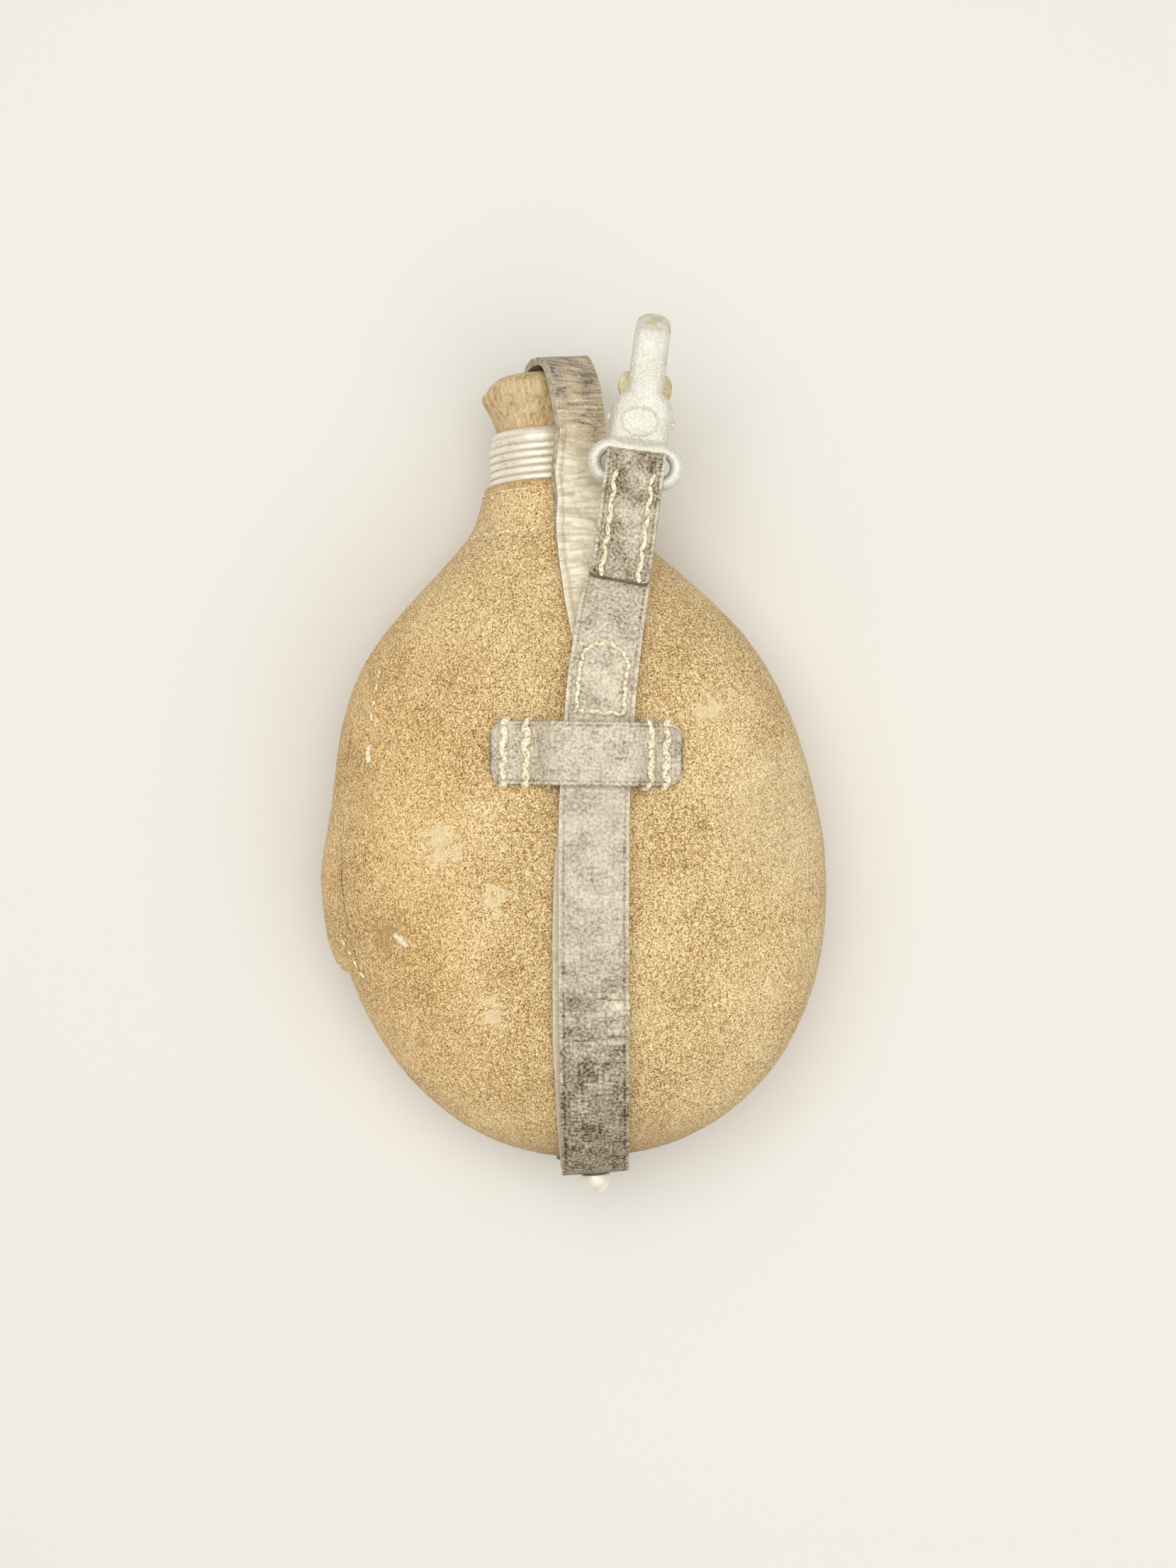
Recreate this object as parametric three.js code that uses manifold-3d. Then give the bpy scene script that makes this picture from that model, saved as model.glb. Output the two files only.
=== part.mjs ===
// Felt-covered field canteen lying on its back: aluminium flask, cork, leather harness and snap hook.
// Millimetres. X runs across the flask, Y from its bottom to its neck, Z up through its front face.
import * as THREE from 'three';
import { mergeVertices } from 'three/addons/utils/BufferGeometryUtils.js';
import Module from 'manifold-3d';

const wasm = await Module();
wasm.setup();

// Driving dimensions: flask and felt
const bodyHalfWidth = 75;
const bodyFrontDepth = 40;
const bodyBackDepth = 41.5;
const bodyBelly = 90;
const bodySquareness = 2.15;
const sectionSquareness = 0.28;
const backHollow = 20.7;
const backHollowSpread = 0.45;
const restDepth = 30;
const hemY = 202.7;
const hemRadius = 18.2;
const collarSeamY = 189.6;
const feltThickness = 3;
const seamZ = -2;
const flaskWall = 1.2;
const fitGap = 0.3;

// Driving dimensions: neck and cork
const neckRadius = 15.2;
const lipY = 219.4;
const lipBead = 0.6;
const lipGroove = 0.6;
const boreTopRadius = 13.3;
const boreBottomRadius = 11.8;
const boreBottomY = 197;
const corkHeadRadius = 16.9;
const corkHeadY = 229.5;
const corkTopY = 236.6;

// Driving dimensions: leather
const leather = 2.2;
const hookStrapWidth = 18.6;
const foldWidth = 17;
const underStrapWidth = 19;
const underStrapShift = -2;
const stopperStrapWidth = 16;
const strapSeat = 0.6;
const backSeat = 2.8;
const layerGap = 0.4;
const keeperClear = 0.8;
const keeperWidth = 18.2;
const keeperHalfLength = 27.3;
const keeperCentre = new THREE.Vector2(6.2, 121);
const keeperTurn = -5.3 * Math.PI / 180;
const rearKeeperY = 97;
const rearKeeperHalfLength = 19;
const strapSplitY = 187;
const stopperFootX = 11;
const backFootX = 1;
const stackEase = 20;
const flapRise = 2.6;
const keeperCorner = 4;
const flapEndY = 169.5;

// Driving dimensions: bottom stud
const studHeadRadius = 4.6;
const studShankRadius = 2.1;
const studPlateRadius = 5;
const studPlateThickness = 0.8;

// Driving dimensions: side closing flap and its press studs
const flapLowY = 62;
const flapHighY = 142;
const flapThickness = 2.4;
const flapSeat = 0.7;
const flapFrontSides = 2;
const flapBackSides = 3;
const snapCount = 4;
const snapRadius = 6;
const snapHeight = 2.4;
const snapAngle = 203;

// Driving dimensions: snap hook, in the hook's own frame with its eye's lower bar on the X axis
const hookSeat = new THREE.Vector3(25.9, 199, 28.6);
const hookTurn = -12 * Math.PI / 180;
const eyeBarRadius = 2.05;
const eyeHalfWidth = 12.05;
const eyeHeight = 9.4;
const eyeFoldGap = 0.4;
const hookBodyWidth = 18.4;
const hookBodyFoot = 17;
const hookBodyLowY = 11.6;
const hookBodyTopY = 25.4;
const hookBodyFront = 4.6;
const hookBodyBack = -10.5;
const fingerWidth = 10.5;
const fingerThickness = 6;
const fingerFrontZ = 1.6;
const hookTopY = 49.9;
const noseZ = -12.4;
const noseEndY = 33.2;
const gateWidth = 6;
const gateSlotGap = 0.4;
const pinY = 18.4;
const pinZ = -5.6;
const pinRadius = 1.5;
const pinGap = 0.25;
const pinHeadProud = 1;
const earHalfWidth = 8.6;
const earWidth = 5.4;
const earHeight = 6.6;

// Helpers: solids from rings, sweeps and booleans
const V = (x, y, z) => new THREE.Vector3(x, y, z);

function geometryFrom(positions, indices) {
  const geometry = new THREE.BufferGeometry();
  geometry.setAttribute('position', new THREE.Float32BufferAttribute(positions, 3));
  geometry.setIndex(indices);
  return geometry;
}

// Closed solid through a list of equal rings, closed at both ends on given points
function loft(rings, startPoint, endPoint) {
  const count = rings[0].length;
  const positions = [];
  const indices = [];
  rings.flat().forEach((p) => positions.push(p.x, p.y, p.z));
  const start = rings.length * count;
  positions.push(...startPoint.toArray(), ...endPoint.toArray());
  for (let i = 0; i < count; i += 1) {
    const next = (i + 1) % count;
    indices.push(start, next, i);
    for (let r = 0; r < rings.length - 1; r += 1) {
      const a = r * count;
      const b = a + count;
      indices.push(a + i, a + next, b + i, a + next, b + next, b + i);
    }
    const last = (rings.length - 1) * count;
    indices.push(start + 1, last + i, last + next);
  }
  return outward(geometryFrom(positions, indices));
}

// Closed sheet between two equal grids of points
function slab(top, under) {
  const rows = top.length;
  const columns = top[0].length;
  const positions = [...top.flat(), ...under.flat()].flatMap((p) => p.toArray());
  const at = (face, r, c) => (face * rows + r) * columns + c;
  const indices = [];
  const quad = (a, b, c, d) => indices.push(a, b, c, a, c, d);
  for (let r = 0; r < rows - 1; r += 1) {
    for (let c = 0; c < columns - 1; c += 1) {
      quad(at(0, r, c), at(0, r, c + 1), at(0, r + 1, c + 1), at(0, r + 1, c));
      quad(at(1, r, c), at(1, r + 1, c), at(1, r + 1, c + 1), at(1, r, c + 1));
    }
    quad(at(0, r, 0), at(0, r + 1, 0), at(1, r + 1, 0), at(1, r, 0));
    quad(at(0, r + 1, columns - 1), at(0, r, columns - 1), at(1, r, columns - 1), at(1, r + 1, columns - 1));
  }
  for (let c = 0; c < columns - 1; c += 1) {
    quad(at(0, 0, c + 1), at(0, 0, c), at(1, 0, c), at(1, 0, c + 1));
    quad(at(0, rows - 1, c), at(0, rows - 1, c + 1), at(1, rows - 1, c + 1), at(1, rows - 1, c));
  }
  return outward(geometryFrom(positions, indices));
}

function signedVolume(geometry) {
  const p = geometry.attributes.position;
  const index = geometry.index.array;
  const corner = [V(), V(), V()];
  let sum = 0;
  for (let i = 0; i < index.length; i += 3) {
    corner.forEach((c, k) => c.fromBufferAttribute(p, index[i + k]));
    sum += corner[0].dot(corner[1].clone().cross(corner[2]));
  }
  return sum / 6;
}

function outward(geometry) {
  if (signedVolume(geometry) < 0) geometry.index.array.reverse();
  return geometry;
}

function centreOf(points) {
  const sum = points.reduce((total, p) => total.add(p), V(0, 0, 0));
  return sum.divideScalar(points.length);
}

function toSolid(geometry) {
  const bare = geometry.clone();
  bare.deleteAttribute('normal');
  bare.deleteAttribute('uv');
  const merged = outward(mergeVertices(bare, 1e-4));
  return new wasm.Manifold(new wasm.Mesh({
    numProp: 3,
    vertProperties: Float32Array.from(merged.attributes.position.array),
    triVerts: Uint32Array.from(merged.index.array),
  }));
}

function toGeometry(solid) {
  const mesh = solid.getMesh();
  return geometryFrom(Array.from(mesh.vertProperties), Array.from(mesh.triVerts));
}

const cut = (geometry, ...tools) => toGeometry(
  tools.reduce((solid, tool) => solid.subtract(toSolid(tool)), toSolid(geometry)),
);
const join = (geometry, ...others) => toGeometry(
  others.reduce((solid, other) => solid.add(toSolid(other)), toSolid(geometry)),
);
const keep = (geometry, tool) => toGeometry(toSolid(geometry).intersect(toSolid(tool)));

function block(low, high) {
  const size = high.clone().sub(low);
  const middle = low.clone().add(high).divideScalar(2);
  return new THREE.BoxGeometry(size.x, size.y, size.z).translate(middle.x, middle.y, middle.z);
}

// Body form: half-width along the flask, measured a wall thickness inside the felt's outer face.
// The shoulder is given by shares of its rise from belly to hem, and of its spread from hem to belly.
const shoulderShares = [
  [0.186, 0.961],
  [0.355, 0.8715],
  [0.5145, 0.7395],
  [0.621, 0.595],
  [0.7275, 0.398],
  [0.825, 0.2005],
  [0.896, 0.0775],
];
const shoulder = new THREE.SplineCurve([
  new THREE.Vector2(bodyBelly, bodyHalfWidth),
  ...shoulderShares.map(([rise, spread]) => new THREE.Vector2(
    THREE.MathUtils.lerp(bodyBelly, hemY, rise),
    THREE.MathUtils.lerp(hemRadius, bodyHalfWidth, spread),
  )),
  new THREE.Vector2(hemY, hemRadius),
]);
const shoulderPoints = shoulder.getPoints(120);
const shoulderInset = 0.41;

function shoulderWidth(y) {
  const after = shoulderPoints.findIndex((p) => p.x >= y);
  if (after === 0) return bodyHalfWidth;
  if (after < 0) return hemRadius;
  const a = shoulderPoints[after - 1];
  const b = shoulderPoints[after];
  return THREE.MathUtils.mapLinear(y, a.x, b.x, a.y, b.y);
}

// Half-width, front depth, back depth and roundness of the section at height y
function sectionAt(y, wall) {
  if (y < bodyBelly) {
    const drop = Math.min(1, (bodyBelly - y) / (bodyBelly - wall));
    const share = (1 - drop ** bodySquareness) ** (1 / bodySquareness);
    return {
      width: (bodyHalfWidth - wall) * share,
      front: (bodyFrontDepth - wall) * share,
      back: (bodyBackDepth - wall) * share,
      fullness: share,
    };
  }
  const outer = shoulderWidth(y + shoulderInset * wall);
  const fullness = (outer - hemRadius) / (bodyHalfWidth - hemRadius);
  const depth = (full) => hemRadius + fullness * (full - hemRadius) - wall;
  return { width: outer - wall, front: depth(bodyFrontDepth), back: depth(bodyBackDepth), fullness };
}

const signedPower = (v, power) => Math.sign(v) * Math.abs(v) ** power;

// Point on the section; the back is hollowed to sit against the hip and cut flat where it rests
function bodyPoint(y, degrees, wall) {
  const s = sectionAt(y, wall);
  const angle = degrees * Math.PI / 180;
  const power = 2 / (2 + sectionSquareness * s.fullness);
  const x = s.width * signedPower(Math.cos(angle), power);
  let z = signedPower(Math.sin(angle), power);
  if (z >= 0) return V(x, y, z * s.front);
  const spread = backHollowSpread * Math.max(s.width, 1);
  z = z * s.back + backHollow * s.fullness ** 2 * Math.exp(-((x / spread) ** 2)) * -z;
  return V(x, y, Math.max(z, wall - restDepth));
}

function ringAt(y, wall, count) {
  return Array.from({ length: count }, (_, i) => bodyPoint(y, 360 * i / count, wall));
}

function roundRing(y, radius, count) {
  return Array.from({ length: count }, (_, i) => {
    const angle = 2 * Math.PI * i / count;
    return V(radius * Math.cos(angle), y, radius * Math.sin(angle));
  });
}

const sectionSides = 32;
const lowerRings = 9;
const upperRings = 11;
const collarRings = 3;

function bodyRings(wall) {
  const rings = [];
  for (let i = 1; i <= lowerRings; i += 1) {
    const turn = (i / lowerRings) ** 0.85 * Math.PI / 2;
    rings.push(ringAt(bodyBelly - (bodyBelly - wall) * Math.cos(turn), wall, sectionSides));
  }
  for (let i = 1; i <= upperRings; i += 1) {
    rings.push(ringAt(THREE.MathUtils.lerp(bodyBelly, collarSeamY, i / upperRings), wall, sectionSides));
  }
  return rings;
}

// Flask: one drawn aluminium shell, open at a rolled lip
function flaskShell() {
  const outerWall = feltThickness + fitGap;
  const neck = (y, r) => roundRing(y, r, sectionSides);
  const outerRings = [
    ...bodyRings(outerWall),
    neck(hemY - 5, neckRadius - lipGroove),
    neck(hemY, neckRadius - lipGroove),
    neck(lipY - 5.4, neckRadius - lipGroove),
    neck(lipY - 4.4, neckRadius),
    neck(lipY - 3, neckRadius + lipBead),
    neck(lipY - 1.2, neckRadius),
    neck(lipY, neckRadius - 1.2),
  ];
  const outer = loft(outerRings, V(0, outerWall, 0), V(0, lipY, 0));
  const innerWall = outerWall + flaskWall;
  const boreEnd = lipY + 1;
  const innerRings = [
    ...bodyRings(innerWall),
    neck(boreBottomY, boreBottomRadius),
    neck(boreEnd, boreTopRadius),
  ];
  return cut(outer, loft(innerRings, V(0, innerWall, 0), V(0, boreEnd, 0)));
}

// Felt: front and back panels seamed at the sides, and a doubled collar round the neck
function feltSolid(wall, topY) {
  const rings = bodyRings(wall);
  for (let i = 1; i <= collarRings; i += 1) {
    rings.push(ringAt(THREE.MathUtils.lerp(collarSeamY, hemY, i / collarRings), wall, sectionSides));
  }
  rings.push(roundRing(topY, hemRadius - wall, sectionSides));
  return loft(rings, V(0, wall, 0), V(0, topY, 0));
}

const hemRoll = 0.5;
const feltShell = () => cut(feltSolid(0, hemY + hemRoll), feltSolid(feltThickness, hemY + 2 * hemRoll));

const reach = 400;
const halfGap = fitGap / 2;
const above = block(V(-reach, -reach, seamZ + halfGap), V(reach, collarSeamY - halfGap, reach));
const below = block(V(-reach, -reach, -reach), V(reach, collarSeamY - halfGap, seamZ - halfGap));
const overSeam = block(V(-reach, collarSeamY + halfGap, -reach), V(reach, reach, reach));

// Cork: tapered plug with a domed head swollen above the lip
function corkStopper() {
  const neckTaper = (boreTopRadius - boreBottomRadius) / (lipY - boreBottomY);
  const plugRadius = (y) => boreBottomRadius + neckTaper * (y - boreBottomY) - fitGap;
  const plugEnd = boreBottomY + 0.5;
  const dome = corkTopY - corkHeadY;
  const profile = [
    new THREE.Vector2(0, plugEnd),
    new THREE.Vector2(plugRadius(plugEnd) - 0.8, plugEnd),
    new THREE.Vector2(plugRadius(plugEnd + 1), plugEnd + 1),
    new THREE.Vector2(plugRadius(lipY + 0.4), lipY + 0.4),
    new THREE.Vector2(corkHeadRadius - 0.5, corkHeadY - 1),
    new THREE.Vector2(corkHeadRadius, corkHeadY + 0.6),
    new THREE.Vector2(corkHeadRadius - 1.2, corkHeadY + dome * 0.55),
    new THREE.Vector2(corkHeadRadius * 0.66, corkHeadY + dome * 0.88),
    new THREE.Vector2(0, corkTopY),
  ];
  return new THREE.LatheGeometry(profile, 28);
}

// Straps: a chamfered leather section swept along stations that give a point, a normal and a width
const strapChamfer = 0.35;

function strapSweep(stations, thickness, chamfer = strapChamfer) {
  const rings = stations.map((station, i) => {
    const before = stations[Math.max(i - 1, 0)].p;
    const after = stations[Math.min(i + 1, stations.length - 1)].p;
    const along = after.clone().sub(before).normalize();
    const side = along.clone().cross(station.n).normalize();
    const up = side.clone().cross(along).normalize();
    const w = station.w / 2;
    const t = thickness / 2;
    const c = chamfer;
    const corners = [[-w, -t + c], [-w, t - c], [-w + c, t], [w - c, t],
      [w, t - c], [w, -t + c], [w - c, -t], [-w + c, -t]];
    return corners.map(([a, b]) => station.p.clone().addScaledVector(side, a).addScaledVector(up, b));
  });
  return loft(rings, centreOf(rings[0]), centreOf(rings.at(-1)));
}

// Stations on a smooth line through chosen points, a few to each span
function stationsAlong(marks, width, perSpan) {
  const line = new THREE.CatmullRomCurve3(marks.map((m) => m.p), false, 'centripetal');
  const lean = new THREE.CatmullRomCurve3(marks.map((m) => m.n));
  const steps = (marks.length - 1) * perSpan;
  return Array.from({ length: steps + 1 }, (_, i) => (
    { p: line.getPoint(i / steps), n: lean.getPoint(i / steps).normalize(), w: width }
  ));
}

const mark = (p, n) => ({ p, n: n.clone().normalize() });

// Centre line of the harness on the front face: it leans across the flask towards the hook.
// Its points are shares of the hook's height and of the hook's place across.
const harnessShares = [
  [-0.025, -0.054],
  [0.367, 0.193],
  [0.558, 0.3205],
  [0.658, 0.4363],
  [0.754, 0.583],
  [0.849, 0.772],
  [1, 1],
];
const harnessLine = new THREE.SplineCurve(harnessShares.map(([rise, across]) => (
  new THREE.Vector2(rise * hookSeat.y, across * hookSeat.x)
)));
const harnessPoints = harnessLine.getPoints(80);

function harnessX(y) {
  const after = Math.max(1, harnessPoints.findIndex((p) => p.x >= y));
  const a = harnessPoints[after - 1];
  const b = harnessPoints[after];
  return THREE.MathUtils.mapLinear(y, a.x, b.x, a.y, b.y);
}

function frontZ(x, y) {
  const s = sectionAt(y, 0);
  const power = 2 + sectionSquareness * s.fullness;
  return s.front * Math.max(0, 1 - Math.abs(x / s.width) ** power) ** (1 / power);
}

// Back face under a given place
function backZ(x, y) {
  const section = sectionAt(y, 0);
  const power = 2 + sectionSquareness * section.fullness;
  const angle = Math.acos(signedPower(THREE.MathUtils.clamp(x / section.width, -1, 1), power / 2));
  return bodyPoint(y, 360 - angle * 180 / Math.PI, 0).z;
}

// Mark at a height over the felt, on the front (side 1) or the back (side -1)
function overFelt(x, y, lift, side) {
  const height = side > 0 ? frontZ : backZ;
  const step = 0.05;
  const slopeX = (height(x + step, y) - height(x - step, y)) / (2 * step);
  const slopeY = (height(x, y + step) - height(x, y - step)) / (2 * step);
  const n = V(-slopeX, -slopeY, 1).multiplyScalar(side).normalize();
  return mark(V(x, y, height(x, y)).addScaledVector(n, lift), n);
}

// Height of a strap layer's middle over the felt, eased round the stud's plate at the bottom
const layerStep = leather + layerGap;
const layerLift = (layer) => strapSeat + leather / 2 + layer * layerStep;
const bottomLift = (layer) => 2 * fitGap + studPlateThickness + leather / 2 + layer * layerStep;
const liftAt = (y, layer) => THREE.MathUtils.lerp(
  bottomLift(layer), layerLift(layer), THREE.MathUtils.smoothstep(y, 0, stackEase),
);
const backLift = (y) => THREE.MathUtils.lerp(
  bottomLift(0), backSeat + leather / 2, THREE.MathUtils.smoothstep(y, 0, stackEase),
);
const bottomReach = 7;
const underFlask = (x, z, layer) => mark(V(x, -bottomLift(layer), z), V(0, -1, 0));
const alongFront = (share) => share * hookSeat.y;
const climb = [0.02, 0.05, 0.095, 0.156, 0.231, 0.322, 0.422, 0.523, 0.613, 0.693, 0.764].map(alongFront);
const onFront = (y, shift, layer) => overFelt(harnessX(y) + shift, y, liftAt(y, layer), 1);

// The stopper strap: from the back of the shoulder over the cork to the front, off to the right
const archTopY = corkTopY + leather;
const archFrontZ = corkHeadRadius + leather * 1.32;
const archBackZ = -corkHeadRadius - leather * 1.27;
const footLift = 0.3;
const frontFoot = overFelt(stopperFootX, strapSplitY, layerLift(0) + footLift, 1);
const backFoot = overFelt(backFootX, strapSplitY, layerLift(0), -1);
const upTo = (share, low, high) => THREE.MathUtils.lerp(low, high, share);
const archX = (share) => upTo(share, backFootX, stopperFootX);
const archMarks = [
  backFoot,
  overFelt(backFootX, upTo(0.51, strapSplitY, hemY), layerLift(0), -1),
  mark(V(archX(0.02), upTo(0.24, hemY, lipY), archBackZ), V(0, 0, -1)),
  mark(V(archX(0.05), upTo(0.8, hemY, lipY), archBackZ), V(0, 0, -1)),
  mark(V(archX(0.15), upTo(0.14, corkHeadY, corkTopY), archBackZ), V(0, 0.15, -1)),
  mark(V(archX(0.3), archTopY - leather * 0.45, archBackZ * 0.7), V(0, 1, -0.7)),
  mark(V(archX(0.5), archTopY + leather * 0.5, archBackZ * 0.1), V(0, 1, 0)),
  mark(V(archX(0.75), archTopY - leather * 0.18, archFrontZ * 0.545), V(0.1, 1, 0.6)),
  mark(V(archX(1), upTo(0.28, corkHeadY, corkTopY), archFrontZ * 0.97), V(0.2, 0.2, 1)),
  mark(V(archX(1.1), upTo(0.98, hemY, lipY), archFrontZ), V(0.25, 0, 1)),
  mark(V(archX(1.04), upTo(0.12, hemY, lipY), archFrontZ * 1.01), V(0.3, 0, 1)),
  overFelt(stopperFootX, upTo(0.45, strapSplitY, hemY), layerLift(0) + footLift, 1),
  frontFoot,
];

const stopperStrap = () => strapSweep(stationsAlong(archMarks, stopperStrapWidth, 3), leather);

const seamStep = fitGap + 0.8;

function tapered(stations) {
  const taper = 6;
  stations.slice(-taper).forEach((s, i) => {
    s.w = THREE.MathUtils.lerp(underStrapWidth, stopperStrapWidth, (i + 1) / taper);
  });
  return stations;
}

function underStrap() {
  const x = harnessX(0) + underStrapShift;
  const marks = [
    underFlask(x, -bottomReach, 0),
    underFlask(x, 0, 0),
    underFlask(x, bottomReach, 0),
    ...climb.map((y) => onFront(y, underStrapShift, 0)),
    overFelt(stopperFootX * 1.22, strapSplitY * 0.882, layerLift(0), 1),
    overFelt(stopperFootX * 1.036, strapSplitY * 0.9465, layerLift(0) + footLift, 1),
    overFelt(stopperFootX, strapSplitY - seamStep, layerLift(0) + footLift, 1),
  ];
  return cut(strapSweep(tapered(stationsAlong(marks, underStrapWidth, 2)), leather), studHole());
}

function backStrap() {
  const x = harnessX(0) + underStrapShift;
  const across = (y) => THREE.MathUtils.mapLinear(y, 0, strapSplitY, x, backFootX);
  const rises = [0.021, 0.059, 0.112, 0.182, 0.267, 0.374, 0.492, 0.61, 0.727, 0.834, 0.925];
  const marks = [
    underFlask(x, -bottomReach - seamStep, 0),
    ...rises.map((rise) => rise * strapSplitY).map((y) => overFelt(across(y), y, backLift(y), -1)),
    overFelt(backFootX, strapSplitY - seamStep, layerLift(0), -1),
  ];
  return strapSweep(tapered(stationsAlong(marks, underStrapWidth, 2)), leather);
}

// The hook strap: up the front, round the eye's bar and back down as a stitched flap
const hookTurnMatrix = new THREE.Matrix4().makeRotationZ(hookTurn).setPosition(hookSeat);
const inHook = (y, z) => V(0, y, z).applyMatrix4(hookTurnMatrix);
const hookDirection = V(0, 1, 0).transformDirection(hookTurnMatrix);
const loopGap = fitGap + 0.05;
const loopRadius = eyeBarRadius + loopGap + leather / 2;
const loopCentreY = eyeHeight - eyeBarRadius - eyeFoldGap - leather / 2 - loopRadius;

function hookStrap() {
  const up = V(0, 0.16, 1);
  const away = up.clone().negate();
  const fold = [-60, -30, 0, 30, 60].map((degrees) => {
    const angle = degrees * Math.PI / 180;
    const inward = hookDirection.clone().multiplyScalar(-Math.cos(angle)).add(V(0, 0, -Math.sin(angle)));
    const y = loopCentreY + loopRadius * Math.cos(angle);
    return mark(inHook(y, loopRadius * Math.sin(angle)), inward);
  });
  const flapLength = (hookSeat.y - flapEndY) / Math.cos(hookTurn);
  const marks = [
    underFlask(harnessX(0), -bottomReach, 1),
    underFlask(harnessX(0), 0, 1),
    underFlask(harnessX(0), bottomReach, 1),
    ...climb.map((y) => onFront(y, 0, 1)),
    mark(inHook(-flapLength, flapRise), up),
    mark(inHook(-flapLength * 0.483, -flapRise * 0.46), up),
    mark(inHook(-flapLength * 0.167, -loopRadius), V(0, 0.05, 1)),
    mark(inHook(loopCentreY, -loopRadius), V(0, 0, 1)),
    ...fold,
    mark(inHook(loopCentreY, loopRadius), V(0, 0, -1)),
    mark(inHook(-flapLength * 0.133, loopRadius - fitGap), away),
    mark(inHook(-flapLength * 0.483, layerStep - flapRise * 0.42), away),
    mark(inHook(-flapLength, layerStep + flapRise * 1.08), away),
  ];
  const stations = stationsAlong(marks, hookStrapWidth, 2);
  const narrowing = stations.length * 0.45;
  stations.forEach((s, i) => {
    s.w = THREE.MathUtils.lerp(hookStrapWidth, foldWidth, THREE.MathUtils.smoothstep(i, narrowing, narrowing + 8));
  });
  return cut(strapSweep(stations, leather), studHole());
}

// Keepers: leather loops sewn to the felt at both ends, standing over the straps between
function keeperStations(centre, turn, side, layers, halfLength) {
  const rise = (side > 0 ? strapSeat : backSeat) + leather / 2 + layers * layerStep + keeperClear;
  const seat = 2 * fitGap + leather / 2;
  const spans = 24;
  return Array.from({ length: spans + 1 }, (_, i) => {
    const s = THREE.MathUtils.lerp(-halfLength, halfLength, i / spans);
    const x = centre.x + s * Math.cos(turn);
    const y = centre.y + s * Math.sin(turn);
    const strapX = side > 0 ? harnessX(y) + underStrapShift / 2 : 0;
    const beside = Math.abs(x - strapX) - underStrapWidth / 2;
    const over = 1 - THREE.MathUtils.smoothstep(beside, leather, halfLength / 4);
    const bed = overFelt(x, y, seat, side);
    bed.p.z = THREE.MathUtils.lerp(bed.p.z, overFelt(strapX, y, rise, side).p.z, over);
    const corner = Math.max(0, 1 - (halfLength - Math.abs(s)) / keeperCorner);
    return { p: bed.p, n: bed.n, w: keeperWidth * (1 - 0.3 * corner ** 2) };
  });
}

const frontKeeper = () => strapSweep(
  keeperStations(keeperCentre, keeperTurn, 1, 2, keeperHalfLength), leather,
);
const rearKeeper = () => strapSweep(
  keeperStations(new THREE.Vector2(0, rearKeeperY), 0, -1, 1, rearKeeperHalfLength), leather,
);

// Bottom stud: a ball head on a shank riveted over a plate behind the straps
const strapStackY = -bottomLift(1) - leather / 2;
const studX = harnessX(0);

function studAlong(profile, sides) {
  return new THREE.LatheGeometry(profile, sides).rotateX(Math.PI).translate(studX, 0, 0);
}

function studHole() {
  const hole = new THREE.CylinderGeometry(studShankRadius + fitGap, studShankRadius + fitGap, 20, 16);
  return hole.translate(studX, 0, 0);
}

function strapStud() {
  const neckEnd = -strapStackY + fitGap;
  const ball = Array.from({ length: 9 }, (_, i) => {
    const angle = -0.3 + i / 8 * (Math.PI / 2 + 0.3);
    const y = neckEnd + 1.4 + studHeadRadius * Math.sin(angle);
    return new THREE.Vector2(i === 8 ? 0 : studHeadRadius * Math.cos(angle), y);
  });
  return studAlong([
    new THREE.Vector2(0, fitGap),
    new THREE.Vector2(studShankRadius, fitGap),
    new THREE.Vector2(studShankRadius, neckEnd),
    ...ball,
  ], 18);
}

function studPlate() {
  const hole = studShankRadius + fitGap;
  const top = fitGap + studPlateThickness;
  return studAlong([
    new THREE.Vector2(hole, fitGap),
    new THREE.Vector2(studPlateRadius, fitGap),
    new THREE.Vector2(studPlateRadius, top),
    new THREE.Vector2(hole, top),
    new THREE.Vector2(hole, fitGap),
  ], 18);
}

// Closing flap: a felt strip over the opening on the left side, held by press studs
function closingFlap() {
  const rows = 12;
  const columns = flapFrontSides + flapBackSides;
  const side = 360 / sectionSides;
  const faces = [-flapSeat - flapThickness, -flapSeat].map((wall) => (
    Array.from({ length: rows + 1 }, (_, r) => Array.from({ length: columns + 1 }, (__, c) => {
      const y = THREE.MathUtils.lerp(flapLowY, flapHighY, r / rows);
      return bodyPoint(y, 180 + side * (c - flapFrontSides), wall);
    }))
  ));
  return slab(faces[0], faces[1]);
}

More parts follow.
